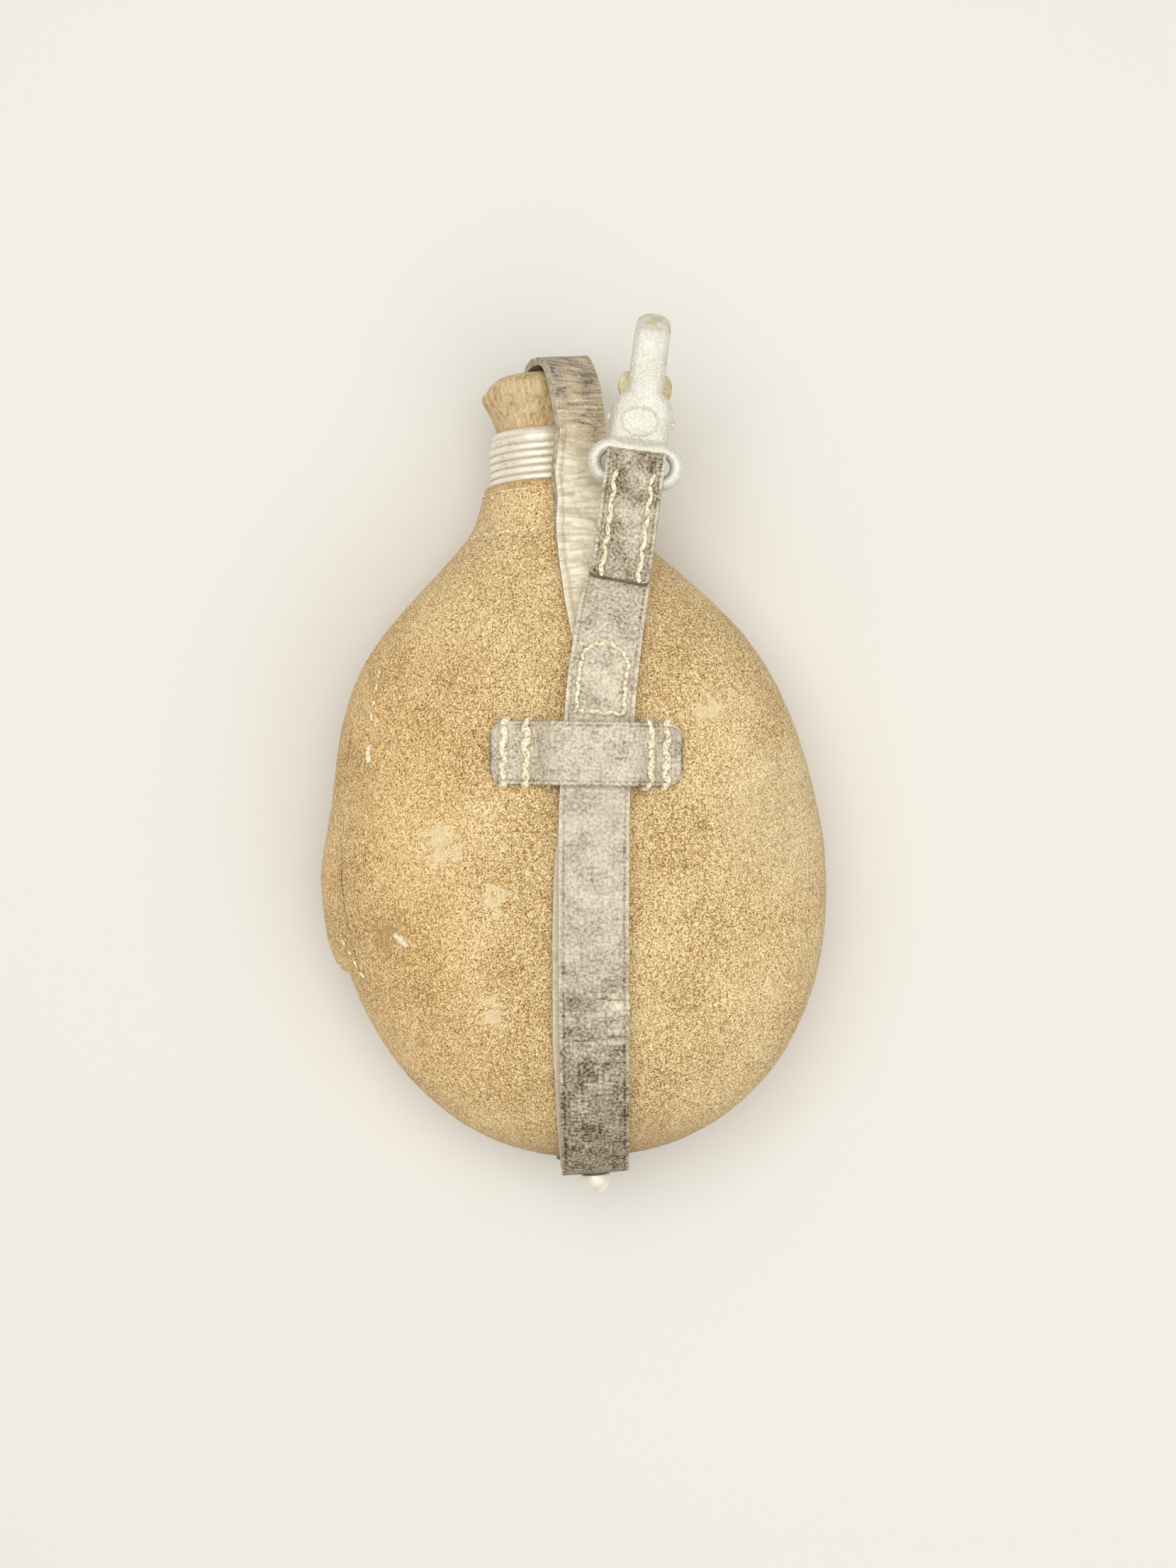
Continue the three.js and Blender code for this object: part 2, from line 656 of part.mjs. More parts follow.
function pressStud(index) {
  const y = THREE.MathUtils.lerp(flapLowY, flapHighY, (index + 0.5) / snapCount);
  const seat = -flapSeat - flapThickness;
  const p = bodyPoint(y, snapAngle, seat);
  const across = bodyPoint(y, snapAngle + 2, seat).sub(bodyPoint(y, snapAngle - 2, seat));
  const along = bodyPoint(y + 1, snapAngle, seat).sub(bodyPoint(y - 1, snapAngle, seat));
  const n = along.cross(across).normalize();
  if (n.x > 0) n.negate();
  const perDegree = across.length() / 4;
  const rimHeights = Array.from({ length: 12 }, (_, i) => {
    const turn = 2 * Math.PI * i / 12;
    const rim = bodyPoint(y + snapRadius * Math.sin(turn), snapAngle + snapRadius * Math.cos(turn) / perDegree, seat);
    return rim.sub(p).dot(n);
  });
  const low = Math.max(0, ...rimHeights) + fitGap;
  const high = low + snapHeight;
  const cap = new THREE.LatheGeometry([
    new THREE.Vector2(0, low),
    new THREE.Vector2(snapRadius, low),
    new THREE.Vector2(snapRadius, low + snapHeight * 0.4),
    new THREE.Vector2(snapRadius * 0.8, low + snapHeight * 0.85),
    new THREE.Vector2(snapRadius * 0.4, high),
    new THREE.Vector2(0, high),
  ], 14);
  cap.applyQuaternion(new THREE.Quaternion().setFromUnitVectors(V(0, 1, 0), n));
  return cap.translate(p.x, p.y, p.z);
}

// Snap hook, cast with its eye; built in its own frame and turned with the strap
function sweepRings(points, sectionOf, closed) {
  const count = points.length;
  return points.map((p, i) => {
    const before = closed ? points[(i + count - 1) % count] : points[Math.max(i - 1, 0)];
    const after = closed ? points[(i + 1) % count] : points[Math.min(i + 1, count - 1)];
    const along = after.clone().sub(before).normalize();
    return sectionOf(p, along, i / (count - 1));
  });
}

function eyeRing() {
  const sides = 10;
  const turns = 32;
  const bend = eyeHeight / 2;
  const centre = Array.from({ length: turns }, (_, i) => {
    const angle = 2 * Math.PI * (i + 0.5) / turns;
    const x = (eyeHalfWidth - bend) * Math.sign(Math.cos(angle)) + bend * Math.cos(angle);
    return V(x, bend * (1 + Math.sin(angle)), 0);
  });
  const rings = sweepRings(centre, (p, along) => {
    const out = along.clone().cross(V(0, 0, 1));
    return Array.from({ length: sides }, (_, k) => {
      const turn = 2 * Math.PI * k / sides;
      return p.clone().addScaledVector(out, eyeBarRadius * Math.cos(turn))
        .add(V(0, 0, eyeBarRadius * Math.sin(turn)));
    });
  }, true);
  const positions = rings.flat().flatMap((p) => p.toArray());
  const indices = [];
  for (let r = 0; r < turns; r += 1) {
    for (let k = 0; k < sides; k += 1) {
      const a = r * sides + k;
      const b = r * sides + (k + 1) % sides;
      const c = (r + 1) % turns * sides + k;
      const d = (r + 1) % turns * sides + (k + 1) % sides;
      indices.push(a, b, c, b, d, c);
    }
  }
  return outward(geometryFrom(positions, indices));
}

function hookFinger() {
  const bendTopY = hookTopY - fingerThickness / 2;
  const bendRadius = (fingerFrontZ - noseZ) / 2;
  const bendCentre = bendTopY - bendRadius;
  const line = [V(0, hookBodyLowY + 8, fingerFrontZ), V(0, hookBodyTopY, fingerFrontZ)];
  for (let i = 0; i <= 10; i += 1) {
    const angle = Math.PI * i / 10;
    const z = fingerFrontZ - bendRadius * (1 - Math.cos(angle));
    line.push(V(0, bendCentre + bendRadius * Math.sin(angle), z));
  }
  line.push(V(0, noseEndY, noseZ));
  const rings = sweepRings(line, (p, along, share) => {
    const up = V(1, 0, 0).cross(along).normalize();
    const slim = THREE.MathUtils.lerp(1, 0.78, THREE.MathUtils.smoothstep(share, 0.2, 0.9));
    const flatness = THREE.MathUtils.lerp(0.75, 1, THREE.MathUtils.smoothstep(share, 0.15, 0.5));
    return Array.from({ length: 14 }, (_, k) => {
      const turn = 2 * Math.PI * k / 14;
      const a = fingerWidth / 2 * signedPower(Math.cos(turn), flatness) * slim;
      const b = fingerThickness / 2 * signedPower(Math.sin(turn), flatness) * slim;
      return p.clone().add(V(a, 0, 0)).addScaledVector(up, b);
    });
  }, false);
  return loft(rings, centreOf(rings[0]), centreOf(rings.at(-1)));
}

// Sections of the cast body up the hook: height, half-width, front and back faces
const bodySections = [
  [hookBodyLowY - 1.6, hookBodyFoot / 2 - 1.4, 2.2, -2.2],
  [hookBodyLowY + 0.2, hookBodyFoot / 2, 3.6, -4.2],
  [hookBodyLowY + 3, hookBodyWidth / 2 - 0.3, hookBodyFront - 0.2, hookBodyBack + 1],
  [pinY, hookBodyWidth / 2, hookBodyFront, hookBodyBack],
  [hookBodyTopY - 4, hookBodyWidth / 2 - 0.3, hookBodyFront, hookBodyBack],
  [hookBodyTopY - 2.2, hookBodyWidth / 2 - 1.1, hookBodyFront, hookBodyBack + 1],
  [hookBodyTopY - 0.8, fingerWidth / 2 + 1.4, hookBodyFront - 0.1, hookBodyBack + 3],
  [hookBodyTopY, fingerWidth / 2 - 0.2, hookBodyFront - 0.4, fingerFrontZ - 1],
];

function hookBody() {
  const sides = 24;
  const rings = bodySections.map(([y, half, front, back]) => Array.from({ length: sides }, (_, k) => {
    const turn = 2 * Math.PI * (k + 0.5) / sides;
    const z = (front + back) / 2 + (front - back) / 2 * signedPower(Math.sin(turn), 0.5);
    return V(half * signedPower(Math.cos(turn), 0.5), y, z);
  }));
  const casting = loft(rings, centreOf(rings[0]), centreOf(rings.at(-1)));
  const slotHalf = gateWidth / 2 + gateSlotGap;
  const slot = block(V(-slotHalf, hookBodyLowY + 2.4, -reach), V(slotHalf, hookTopY, -1.6));
  const thumbRoomTop = fingerFrontZ - fingerThickness / 2 - 0.6;
  const thumbRoom = block(V(-reach, pinY + 5, -reach), V(reach, noseEndY - 1, thumbRoomTop));
  const pinHole = pinCylinder(pinRadius + pinGap / 2, reach);
  return join(cut(casting, slot, thumbRoom, pinHole), eyeRing(), hookFinger());
}

function pinCylinder(radius, length) {
  return new THREE.CylinderGeometry(radius, radius, length, 20).rotateZ(Math.PI / 2).translate(0, pinY, pinZ);
}

function gatePin() {
  const half = hookBodyWidth / 2 + pinHeadProud;
  const profile = [
    new THREE.Vector2(0, -half),
    new THREE.Vector2(pinRadius * 0.7, -half + 0.15),
    new THREE.Vector2(pinRadius, -half + 0.7),
    new THREE.Vector2(pinRadius, half - 0.7),
    new THREE.Vector2(pinRadius * 0.7, half - 0.15),
    new THREE.Vector2(0, half),
  ];
  return new THREE.LatheGeometry(profile, 20).rotateZ(Math.PI / 2).translate(0, pinY, pinZ);
}

// Gate: a lever on the pin that closes against the nose, with thumb ears standing out at both sides
function hookGate() {
  const boss = pinRadius + 1.4;
  const tipY = noseEndY - fitGap;
  const profile = new THREE.Shape();
  profile.absarc(pinY, pinZ, boss, Math.PI * 0.5, Math.PI * 1.2, false);
  profile.lineTo(pinY + 2, noseZ + 1.4);
  profile.lineTo(tipY - 6, noseZ - 2);
  profile.lineTo(tipY - 2.6, noseZ - 1.8);
  profile.lineTo(tipY, noseZ + 2);
  profile.lineTo(tipY - 3, noseZ + 2.6);
  profile.lineTo(pinY + 4, pinZ + 0.6);
  const lever = new THREE.ExtrudeGeometry(profile, { depth: gateWidth, bevelEnabled: false, curveSegments: 8 })
    .translate(0, 0, -gateWidth / 2)
    .applyMatrix4(new THREE.Matrix4().makeBasis(V(0, 1, 0), V(0, 0, 1), V(1, 0, 0)));
  const ears = [-1, 1].map((side) => {
    const ear = new THREE.Shape();
    ear.absellipse(side * (earHalfWidth - earWidth / 2), 0, earWidth / 2, earHeight / 2, 0, Math.PI * 2, false, 0);
    return new THREE.ExtrudeGeometry(ear, { depth: 2.2, bevelEnabled: false, curveSegments: 10 })
      .translate(0, tipY - earHeight / 2 - 0.8, noseZ - 1.4);
  });
  const arm = earHalfWidth - earWidth / 2;
  const thumbBar = block(V(-arm, tipY - 6.2, noseZ - 1.3), V(arm, tipY - 3, noseZ + 0.7));
  return cut(join(lever, thumbBar, ...ears), pinCylinder(pinRadius + pinGap, reach));
}

// Leaf spring between the slot's floor and the gate
function gateSpring() {
  const width = gateWidth - 1.4;
  const marks = [
    mark(V(0, hookBodyLowY + 3.2, pinZ + 0.6), V(0, 1, 0)),
    mark(V(0, hookBodyLowY + 3, pinZ + 2), V(0, 1, 0.3)),
    mark(V(0, pinY - 2.6, -2.2), V(0, 0.3, -1)),
    mark(V(0, pinY + 1.5, -2.2), V(0, 0, -1)),
    mark(V(0, pinY + 5.6, -3.6), V(0, -0.4, -1)),
  ];
  const leaf = 0.5;
  return strapSweep(stationsAlong(marks, width, 3), leaf, leaf / 5);
}

// Assembly
const finish = {
  felt: { color: 0xa98a5c, roughness: 0.95, metalness: 0 },
  leather: { color: 0x5d5046, roughness: 0.6, metalness: 0 },
  paleLeather: { color: 0x9a8f7d, roughness: 0.7, metalness: 0 },
  aluminium: { color: 0xc9c7c0, roughness: 0.45, metalness: 1 },
  castAluminium: { color: 0xbdbbb5, roughness: 0.55, metalness: 1 },
  cork: { color: 0xa98558, roughness: 0.9, metalness: 0 },
  steel: { color: 0x8b8a86, roughness: 0.4, metalness: 1 },
};

const studTipY = -strapStackY + fitGap + 1.4 + studHeadRadius;
const tipRound = Math.hypot(fingerWidth * 0.45 * Math.sin(hookTurn), fingerThickness / 2 * Math.cos(hookTurn));
const hookTipY = hookSeat.y + (hookTopY - fingerThickness / 2) * Math.cos(hookTurn) + tipRound;
const part = new THREE.Group();
part.position.set((flapThickness + flapSeat) / 2, (studTipY - hookTipY) / 2, restDepth);

function add(group, name, geometry, look) {
  const mesh = new THREE.Mesh(geometry, new THREE.MeshStandardMaterial(finish[look]));
  mesh.name = name;
  group.add(mesh);
}

const cover = feltShell();
add(part, 'flask_shell', flaskShell(), 'aluminium');
add(part, 'cork_stopper', corkStopper(), 'cork');
add(part, 'felt_front', keep(cover, above), 'felt');
add(part, 'felt_back', keep(cover, below), 'felt');
add(part, 'felt_collar', keep(cover, overSeam), 'felt');
add(part, 'closing_flap', closingFlap(), 'felt');
for (let i = 0; i < snapCount; i += 1) {
  add(part, `flap_press_stud_${i + 1}`, pressStud(i), 'steel');
}
add(part, 'front_keeper', frontKeeper(), 'leather');
add(part, 'rear_keeper', rearKeeper(), 'leather');
add(part, 'hook_strap', hookStrap(), 'leather');
add(part, 'under_strap', underStrap(), 'paleLeather');
add(part, 'back_strap', backStrap(), 'leather');
add(part, 'stopper_strap', stopperStrap(), 'paleLeather');
add(part, 'strap_stud', strapStud(), 'aluminium');
add(part, 'stud_plate', studPlate(), 'aluminium');

const hook = new THREE.Group();
hook.position.copy(hookSeat);
hook.rotation.z = hookTurn;
add(hook, 'hook_body', hookBody(), 'castAluminium');
add(hook, 'hook_gate', hookGate(), 'castAluminium');
add(hook, 'gate_pin', gatePin(), 'steel');
add(hook, 'gate_spring', gateSpring(), 'steel');
part.add(hook);

export default part;
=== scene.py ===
import math
import random

import bmesh
import bpy
from mathutils import Matrix, Vector, noise
from mathutils.bvhtree import BVHTree


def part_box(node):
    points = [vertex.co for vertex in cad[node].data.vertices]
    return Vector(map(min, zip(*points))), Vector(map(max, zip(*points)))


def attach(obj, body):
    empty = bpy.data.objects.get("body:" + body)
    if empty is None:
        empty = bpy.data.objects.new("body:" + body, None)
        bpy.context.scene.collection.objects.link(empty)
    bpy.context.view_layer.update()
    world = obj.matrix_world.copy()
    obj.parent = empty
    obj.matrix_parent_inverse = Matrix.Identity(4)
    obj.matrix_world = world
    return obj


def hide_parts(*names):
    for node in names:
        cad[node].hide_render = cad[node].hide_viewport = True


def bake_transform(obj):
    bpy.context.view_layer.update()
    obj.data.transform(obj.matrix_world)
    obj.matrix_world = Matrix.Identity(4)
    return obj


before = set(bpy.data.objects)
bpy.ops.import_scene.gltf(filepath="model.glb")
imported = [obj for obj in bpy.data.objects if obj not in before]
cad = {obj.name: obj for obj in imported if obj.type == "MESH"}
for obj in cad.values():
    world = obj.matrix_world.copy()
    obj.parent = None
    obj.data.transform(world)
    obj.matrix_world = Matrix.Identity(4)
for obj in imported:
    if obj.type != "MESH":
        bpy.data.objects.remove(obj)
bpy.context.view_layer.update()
scene = bpy.context.scene
scene.view_settings.view_transform = "Standard"
mm = 0.001
random.seed(11)

# Places on the flask are given in millimetres from its foot (y) and its axis (x, z), as in a drawing of it.
collarLow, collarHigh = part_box("felt_collar")
flaskOrigin = Vector((
    (collarLow.x + collarHigh.x) / 2,
    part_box("felt_front")[0].y,
    (collarLow.z + collarHigh.z) / 2,
))


def flaskPoint(x, y, z):
    return flaskOrigin + Vector((x, y, z)) * mm


def flaskHeight(point):
    return (point.y - flaskOrigin.y) / mm


def nodeTree(*names):
    joined = bmesh.new()
    for name in names:
        joined.from_mesh(cad[name].data)
    tree = BVHTree.FromBMesh(joined)
    joined.free()
    return tree


def frontPoint(tree, x, y):
    # the place on the model's front, straight above (x, y)
    return tree.ray_cast(flaskPoint(x, y, 150), Vector((0, 0, -1)))[0]


def ease(value, low, high):
    share = min(1.0, max(0.0, (value - low) / (high - low)))
    return share * share * (3 - 2 * share)


def between(value, stops):
    # straight lines between (place, value) pairs
    for (a, fromValue), (b, toValue) in zip(stops, stops[1:]):
        if value <= b:
            share = min(1.0, max(0.0, (value - a) / (b - a)))
            return fromValue + (toValue - fromValue) * share
    return stops[-1][1]


def linear(hexColour):
    parts = [int(hexColour[i:i + 2], 16) / 255 for i in (1, 3, 5)]
    return [c / 12.92 if c <= 0.04045 else ((c + 0.055) / 1.055) ** 2.4 for c in parts] + [1.0]


# Materials

def addNode(tree, kind, links=None, **settings):
    # links: input name or number to a value or to another node's output
    node = tree.nodes.new(kind)
    for name, value in settings.items():
        setattr(node, name, value)
    for key, source in (links or {}).items():
        if isinstance(source, bpy.types.NodeSocket):
            tree.links.new(source, node.inputs[key])
        else:
            node.inputs[key].default_value = source
    return node


def mathNode(tree, operation, *values):
    return addNode(tree, "ShaderNodeMath", dict(enumerate(values)), operation=operation).outputs[0]


def noiseNode(tree, place, sizeMm, detail, **more):
    # on stretched coordinates, which are already in units of the pattern, sizeMm is 1000
    links = {"Vector": place, "Scale": 1000 / sizeMm, "Detail": detail, **more}
    return addNode(tree, "ShaderNodeTexNoise", links).outputs["Fac"]


def stretch(tree, place, acrossMm, alongMm):
    scale = (1000 / acrossMm, 1000 / alongMm, 1000 / acrossMm)
    return addNode(tree, "ShaderNodeMapping", {"Vector": place, "Scale": scale}).outputs["Vector"]


def rangeNode(tree, value, low, high, toMin=0.0, toMax=1.0):
    return addNode(tree, "ShaderNodeMapRange", {
        "Value": value, "From Min": low, "From Max": high, "To Min": toMin, "To Max": toMax,
    }).outputs["Result"]


def rampNode(tree, value, stops):
    node = addNode(tree, "ShaderNodeValToRGB", {"Fac": value})
    elements = node.color_ramp.elements
    while len(elements) < len(stops):
        elements.new(0.5)
    for element, (place, colour) in zip(elements, stops):
        element.position = place
        element.color = linear(colour)
    return node.outputs["Color"]


def mixNode(tree, share, under, hexColour, blend="MIX"):
    return addNode(tree, "ShaderNodeMix", {
        "Factor": share, "A": under, "B": linear(hexColour),
    }, data_type="RGBA", blend_type=blend).outputs["Result"]


def distanceNode(tree, place, spot):
    return addNode(tree, "ShaderNodeVectorMath", {0: place, 1: spot}, operation="DISTANCE").outputs["Value"]


def startMaterial(name, **sockets):
    material = bpy.data.materials.new(name)
    material.use_nodes = True
    tree = material.node_tree
    shader = tree.nodes["Principled BSDF"]
    for key, value in sockets.items():
        shader.inputs[key.replace("_", " ")].default_value = value
    return material, tree, shader


def dress(tree, shader, colour, height, strength, depthMm):
    # the surface's colour and its fine relief
    tree.links.new(colour, shader.inputs["Base Color"])
    bump = addNode(tree, "ShaderNodeBump", {"Strength": strength, "Distance": depthMm * mm, "Height": height})
    tree.links.new(bump.outputs["Normal"], shader.inputs["Normal"])


coverTree = nodeTree("felt_front", "felt_back", "felt_collar")

# Wool felt: pressed, fulled fibres, so it is matt, with curled pale hairs over browner wool
feltLook = {
    "speckleMm": 0.5, "mottleMm": 24, "mottle": 0.2, "pitMm": 0.4, "raggedMm": 3,
    "hairMm": (1.0, 0.75), "hairTurns": (0.5, 2.1), "hairWidth": 0.035, "hair": 0.13,
    "colours": [(0.36, "#7E5B2E"), (0.48, "#C6A063"), (0.57, "#E7C890"), (0.68, "#FFEDC0")],
    "wornSpots": [(-37.6, 98.8, 5.5), (-23.4, 82, 4.5), (-26.5, 49.4, 4), (42.4, 130.9, 4.5)],
    "stains": [(-48.9, 40.5, 2.6), (-56.5, 73, 6)],
    "faded": [(60.8, 98, 26)],
    "tears": [
        (-50.9, 70.6, 1.6), (-51.9, 71.8, 1.7), (-53.2, 73.0, 1.3), (-54.4, 73.9, 0.9),
        (-57.3, 125.0, 1.3), (-57.4, 126.6, 1.2), (-57.1, 128.0, 0.9),
    ],
}


def woolFelt():
    look = feltLook
    material, tree, shader = startMaterial(
        "woolFelt", Roughness=0.95, Sheen_Weight=0.15, Sheen_Roughness=0.6, Specular_IOR_Level=0.15,
    )
    place = addNode(tree, "ShaderNodeTexCoord").outputs["Object"]
    speckle = noiseNode(tree, place, look["speckleMm"], 3.0, Roughness=0.6, Distortion=0.5)
    mottle = noiseNode(tree, place, look["mottleMm"], 4.0)
    tone = mathNode(tree, "MULTIPLY_ADD", mottle, look["mottle"], speckle)
    # curled hairs: the level lines of a stretched noise, laid in two directions
    for sizeMm, turn in zip(look["hairMm"], look["hairTurns"]):
        turned = addNode(tree, "ShaderNodeMapping", {
            "Vector": place, "Rotation": (0.4, 0.3, turn), "Scale": (1.0, 0.6, 1.0),
        }).outputs["Vector"]
        level = noiseNode(tree, turned, sizeMm, 1.0, Distortion=1.1)
        hair = mathNode(tree, "COMPARE", level, 0.5, look["hairWidth"])
        tone = mathNode(tree, "MULTIPLY_ADD", hair, look["hair"], tone)
    tone = mathNode(tree, "SUBTRACT", tone, look["hair"])
    colour = rampNode(tree, tone, look["colours"])
    # browner wool on the flap's side, a handled hem at the neck, and darker felt towards the foot
    axes = addNode(tree, "ShaderNodeSeparateXYZ", {"Vector": place}).outputs
    for axis, untintedAt, tintedAt, most, shade, blend in (
        ("X", flaskPoint(-12, 0, 0).x, flaskPoint(-52, 0, 0).x, 1.0, "#FFF7EA", "MULTIPLY"),
        ("Y", collarHigh.y - 3.5 * mm, collarHigh.y - 0.8 * mm, 0.45, "#B88A4C", "MIX"),
        ("Y", flaskPoint(0, 16, 0).y, flaskPoint(0, 1, 0).y, 0.55, "#97703E", "MIX"),
    ):
        tintShare = rangeNode(tree, axes[axis], untintedAt, tintedAt, toMax=most)
        colour = mixNode(tree, tintShare, colour, shade, blend)
    # faded wool on the right, rubbed spots, brown stains, and two short tears that show the white wool inside
    ragged = noiseNode(tree, place, look["raggedMm"], 5.0)
    for spots, shade, most, uneven in (
        ("faded", "#FFF0C8", 0.2, 1.5), ("wornSpots", "#F1DDB2", 0.6, 5.0),
        ("stains", "#B08A58", 0.55, 5.0), ("tears", "#FBF4DF", 1.0, 1.2),
    ):
        for x, y, radiusMm in look[spots]:
            radius = radiusMm * mm
            away = distanceNode(tree, place, frontPoint(coverTree, x, y))
            near = mathNode(tree, "MULTIPLY_ADD", ragged, radius * uneven, away)
            mask = rangeNode(tree, near, radius * (uneven / 2 + 1.0), radius * (uneven / 2 + 0.5), toMax=most)
            colour = mixNode(tree, mask, colour, shade)
    pits = noiseNode(tree, place, look["pitMm"], 2.0)
    rough = mathNode(tree, "MULTIPLY_ADD", pits, 0.5, tone)
    dress(tree, shader, colour, rough, 0.5, 0.5)
    return material


# Harness leather: waxed hide, rubbed grey and tan, with fine cross wrinkles and a creased border.
# It reads the strap's own map (across in x, along in y, in metres) and its painted tone and wear, which carry
# painted light and shade besides the leather's own colour.
leatherLook = {
    "halfWidth": 9.0, "wrinkleAcrossMm": 9, "grainMm": 0.75, "mottleMm": 7, "scuffMm": (0.8, 5),
    "fleckMm": 0.9, "borderMm": 1.2, "borderWidthMm": 0.3, "wornAndLitEdgeMm": (0.7, 0.1), "wornAndLitEdge": 0.12,
    "crackMm": 3.6, "crackBendMm": 4, "crackWidth": (0.02, 0.09), "crack": 0.08,
}
harnessLook = {
    "wrinkles": 0.1, "wrinkleMm": 1.3, "mottle": 0.55, "fleck": 1.1, "scuffs": 0.03, "border": 0.16,
    "colours": [(0.0, "#4A3E31"), (0.2, "#86785F"), (0.45, "#B5A892"), (0.65, "#D2C7B2"), (0.95, "#F0E5CB")],
}
# the stopper strap's wrinkles are painted strongly into its colour, as painted light and shade
stopperLook = {
    "wrinkles": 0.85, "wrinkleMm": 1.1, "mottle": 0.3, "fleck": 0.35, "scuffs": 0.1, "border": 0.0,
    "colours": [(0.0, "#6C5E4F"), (0.2, "#A39686"), (0.45, "#C8B999"), (0.65, "#DACCAF"), (0.95, "#FFF8E2")],
}


def harnessLeather(name, hide):
    look = leatherLook
    material, tree, shader = startMaterial(name, Specular_IOR_Level=0.35)
    strapMap = addNode(tree, "ShaderNodeUVMap", uv_map="strapMap").outputs["UV"]
    tone = addNode(tree, "ShaderNodeAttribute", attribute_name="tone").outputs["Fac"]
    worn = addNode(tree, "ShaderNodeAttribute", attribute_name="worn").outputs["Fac"]
    creased = stretch(tree, strapMap, look["wrinkleAcrossMm"], hide["wrinkleMm"])
    wrinkles = noiseNode(tree, creased, 1000, 4.0, Roughness=0.6, Distortion=0.7)
    scuffs = noiseNode(tree, stretch(tree, strapMap, *look["scuffMm"]), 1000, 3.0, Roughness=0.6)
    grain = addNode(tree, "ShaderNodeTexVoronoi", {
        "Vector": strapMap, "Scale": 1000 / look["grainMm"],
    }, feature="F1").outputs["Distance"]
    mottle = noiseNode(tree, strapMap, look["mottleMm"], 5.0, Roughness=0.68)
    fleck = noiseNode(tree, strapMap, look["fleckMm"], 4.0, Roughness=0.65)
    # cracks: the cell borders of a warped pattern, broken off where the hide is sound
    bendMm = look["crackBendMm"]
    bend = addNode(tree, "ShaderNodeTexNoise", {"Vector": strapMap, "Scale": 1000 / bendMm, "Detail": 3.0})
    bent = addNode(tree, "ShaderNodeVectorMath", {
        0: bend.outputs["Color"], 1: (bendMm * mm, bendMm * mm, 0.0), 2: strapMap,
    }, operation="MULTIPLY_ADD").outputs["Vector"]
    cells = addNode(tree, "ShaderNodeTexVoronoi", {
        "Vector": bent, "Scale": 1000 / look["crackMm"],
    }, feature="DISTANCE_TO_EDGE").outputs["Distance"]
    cracks = rangeNode(tree, cells, *look["crackWidth"], toMin=1.0, toMax=0.0)
    unsound = rangeNode(tree, mottle, 0.5, 0.4)
    cracks = mathNode(tree, "MULTIPLY", cracks, unsound)
    patterns = {"mottle": mottle, "wrinkles": wrinkles, "fleck": fleck, "scuffs": scuffs}
    # the wrinkles, which also make the bump, darken the colour in their hollows and lighten it on their
    # ridges: painted shade and painted light; mottle, flecks, scuffs and cracks are the hide's own colour
    wearAndWrinkleShade = -sum(hide[kind] for kind in patterns) / 2
    for kind, pattern in patterns.items():
        wearAndWrinkleShade = mathNode(tree, "MULTIPLY_ADD", pattern, hide[kind], wearAndWrinkleShade)
    wearAndWrinkleShade = mathNode(tree, "MULTIPLY_ADD", cracks, -look["crack"], wearAndWrinkleShade)
    shade = mathNode(tree, "MULTIPLY_ADD", wearAndWrinkleShade, worn, tone)
    # the rounded edge is painted pale, for the rubbing it has had and as a painted highlight on its
    # roundness; the creased border just inside it is painted darker, as painted shade in the crease
    across = addNode(tree, "ShaderNodeSeparateXYZ", {"Vector": strapMap}).outputs["X"]
    middle = mathNode(tree, "ABSOLUTE", across)
    wornAndLitEdge = [(look["halfWidth"] - inset) * mm for inset in look["wornAndLitEdgeMm"]]
    edge = rangeNode(tree, middle, *wornAndLitEdge, toMax=look["wornAndLitEdge"])
    borderAt = (look["halfWidth"] - look["borderMm"]) * mm
    crease = mathNode(tree, "COMPARE", middle, borderAt, look["borderWidthMm"] * mm)
    shade = mathNode(tree, "ADD", shade, edge)
    shade = mathNode(tree, "MULTIPLY_ADD", crease, -hide["border"], shade)
    colour = rampNode(tree, shade, hide["colours"])
    relief = wrinkles
    for pattern, share in ((grain, 0.25), (crease, -hide["border"]), (mottle, 0.4), (cracks, -0.2)):
        relief = mathNode(tree, "MULTIPLY_ADD", pattern, share, relief)
    dress(tree, shader, colour, relief, 0.6, 0.55)
    gloss = rangeNode(tree, mottle, 0.3, 0.7, toMin=0.5, toMax=0.75)
    tree.links.new(gloss, shader.inputs["Roughness"])
    return material


# Cut edges of the leather: layered fibres, burnished
def cutLeather(name, colours):
    material, tree, shader = startMaterial(name, Roughness=0.7)
    place = addNode(tree, "ShaderNodeTexCoord").outputs["Object"]
    fibres = noiseNode(tree, place, 1.8, 4.0)
    dress(tree, shader, rampNode(tree, fibres, colours), fibres, 0.5, 0.2)
    return material


# Rings rolled into the flask's neck, between the felt's hem and the lip
neckThread = {
    "firstY": 204.2, "pitch": 2.3, "turns": 5, "radius": 15.1, "swell": 0.55, "bead": 1.22, "flatness": 0.7,
    "steps": 56,
}

# Drawn aluminium: oxidised dull and whitish, with yellow-brown grime lying in its grooves
aluminiumLook = {
    "stainMm": 6, "pitMm": 0.8, "colours": [(0.3, "#D8C9A6"), (0.42, "#F1E8D3"), (0.62, "#FDF9EE")],
    "grooves": {"most": 0.32, "shade": "#B0935F", "reach": 0.9, "softness": (-0.15, 0.25)},
}


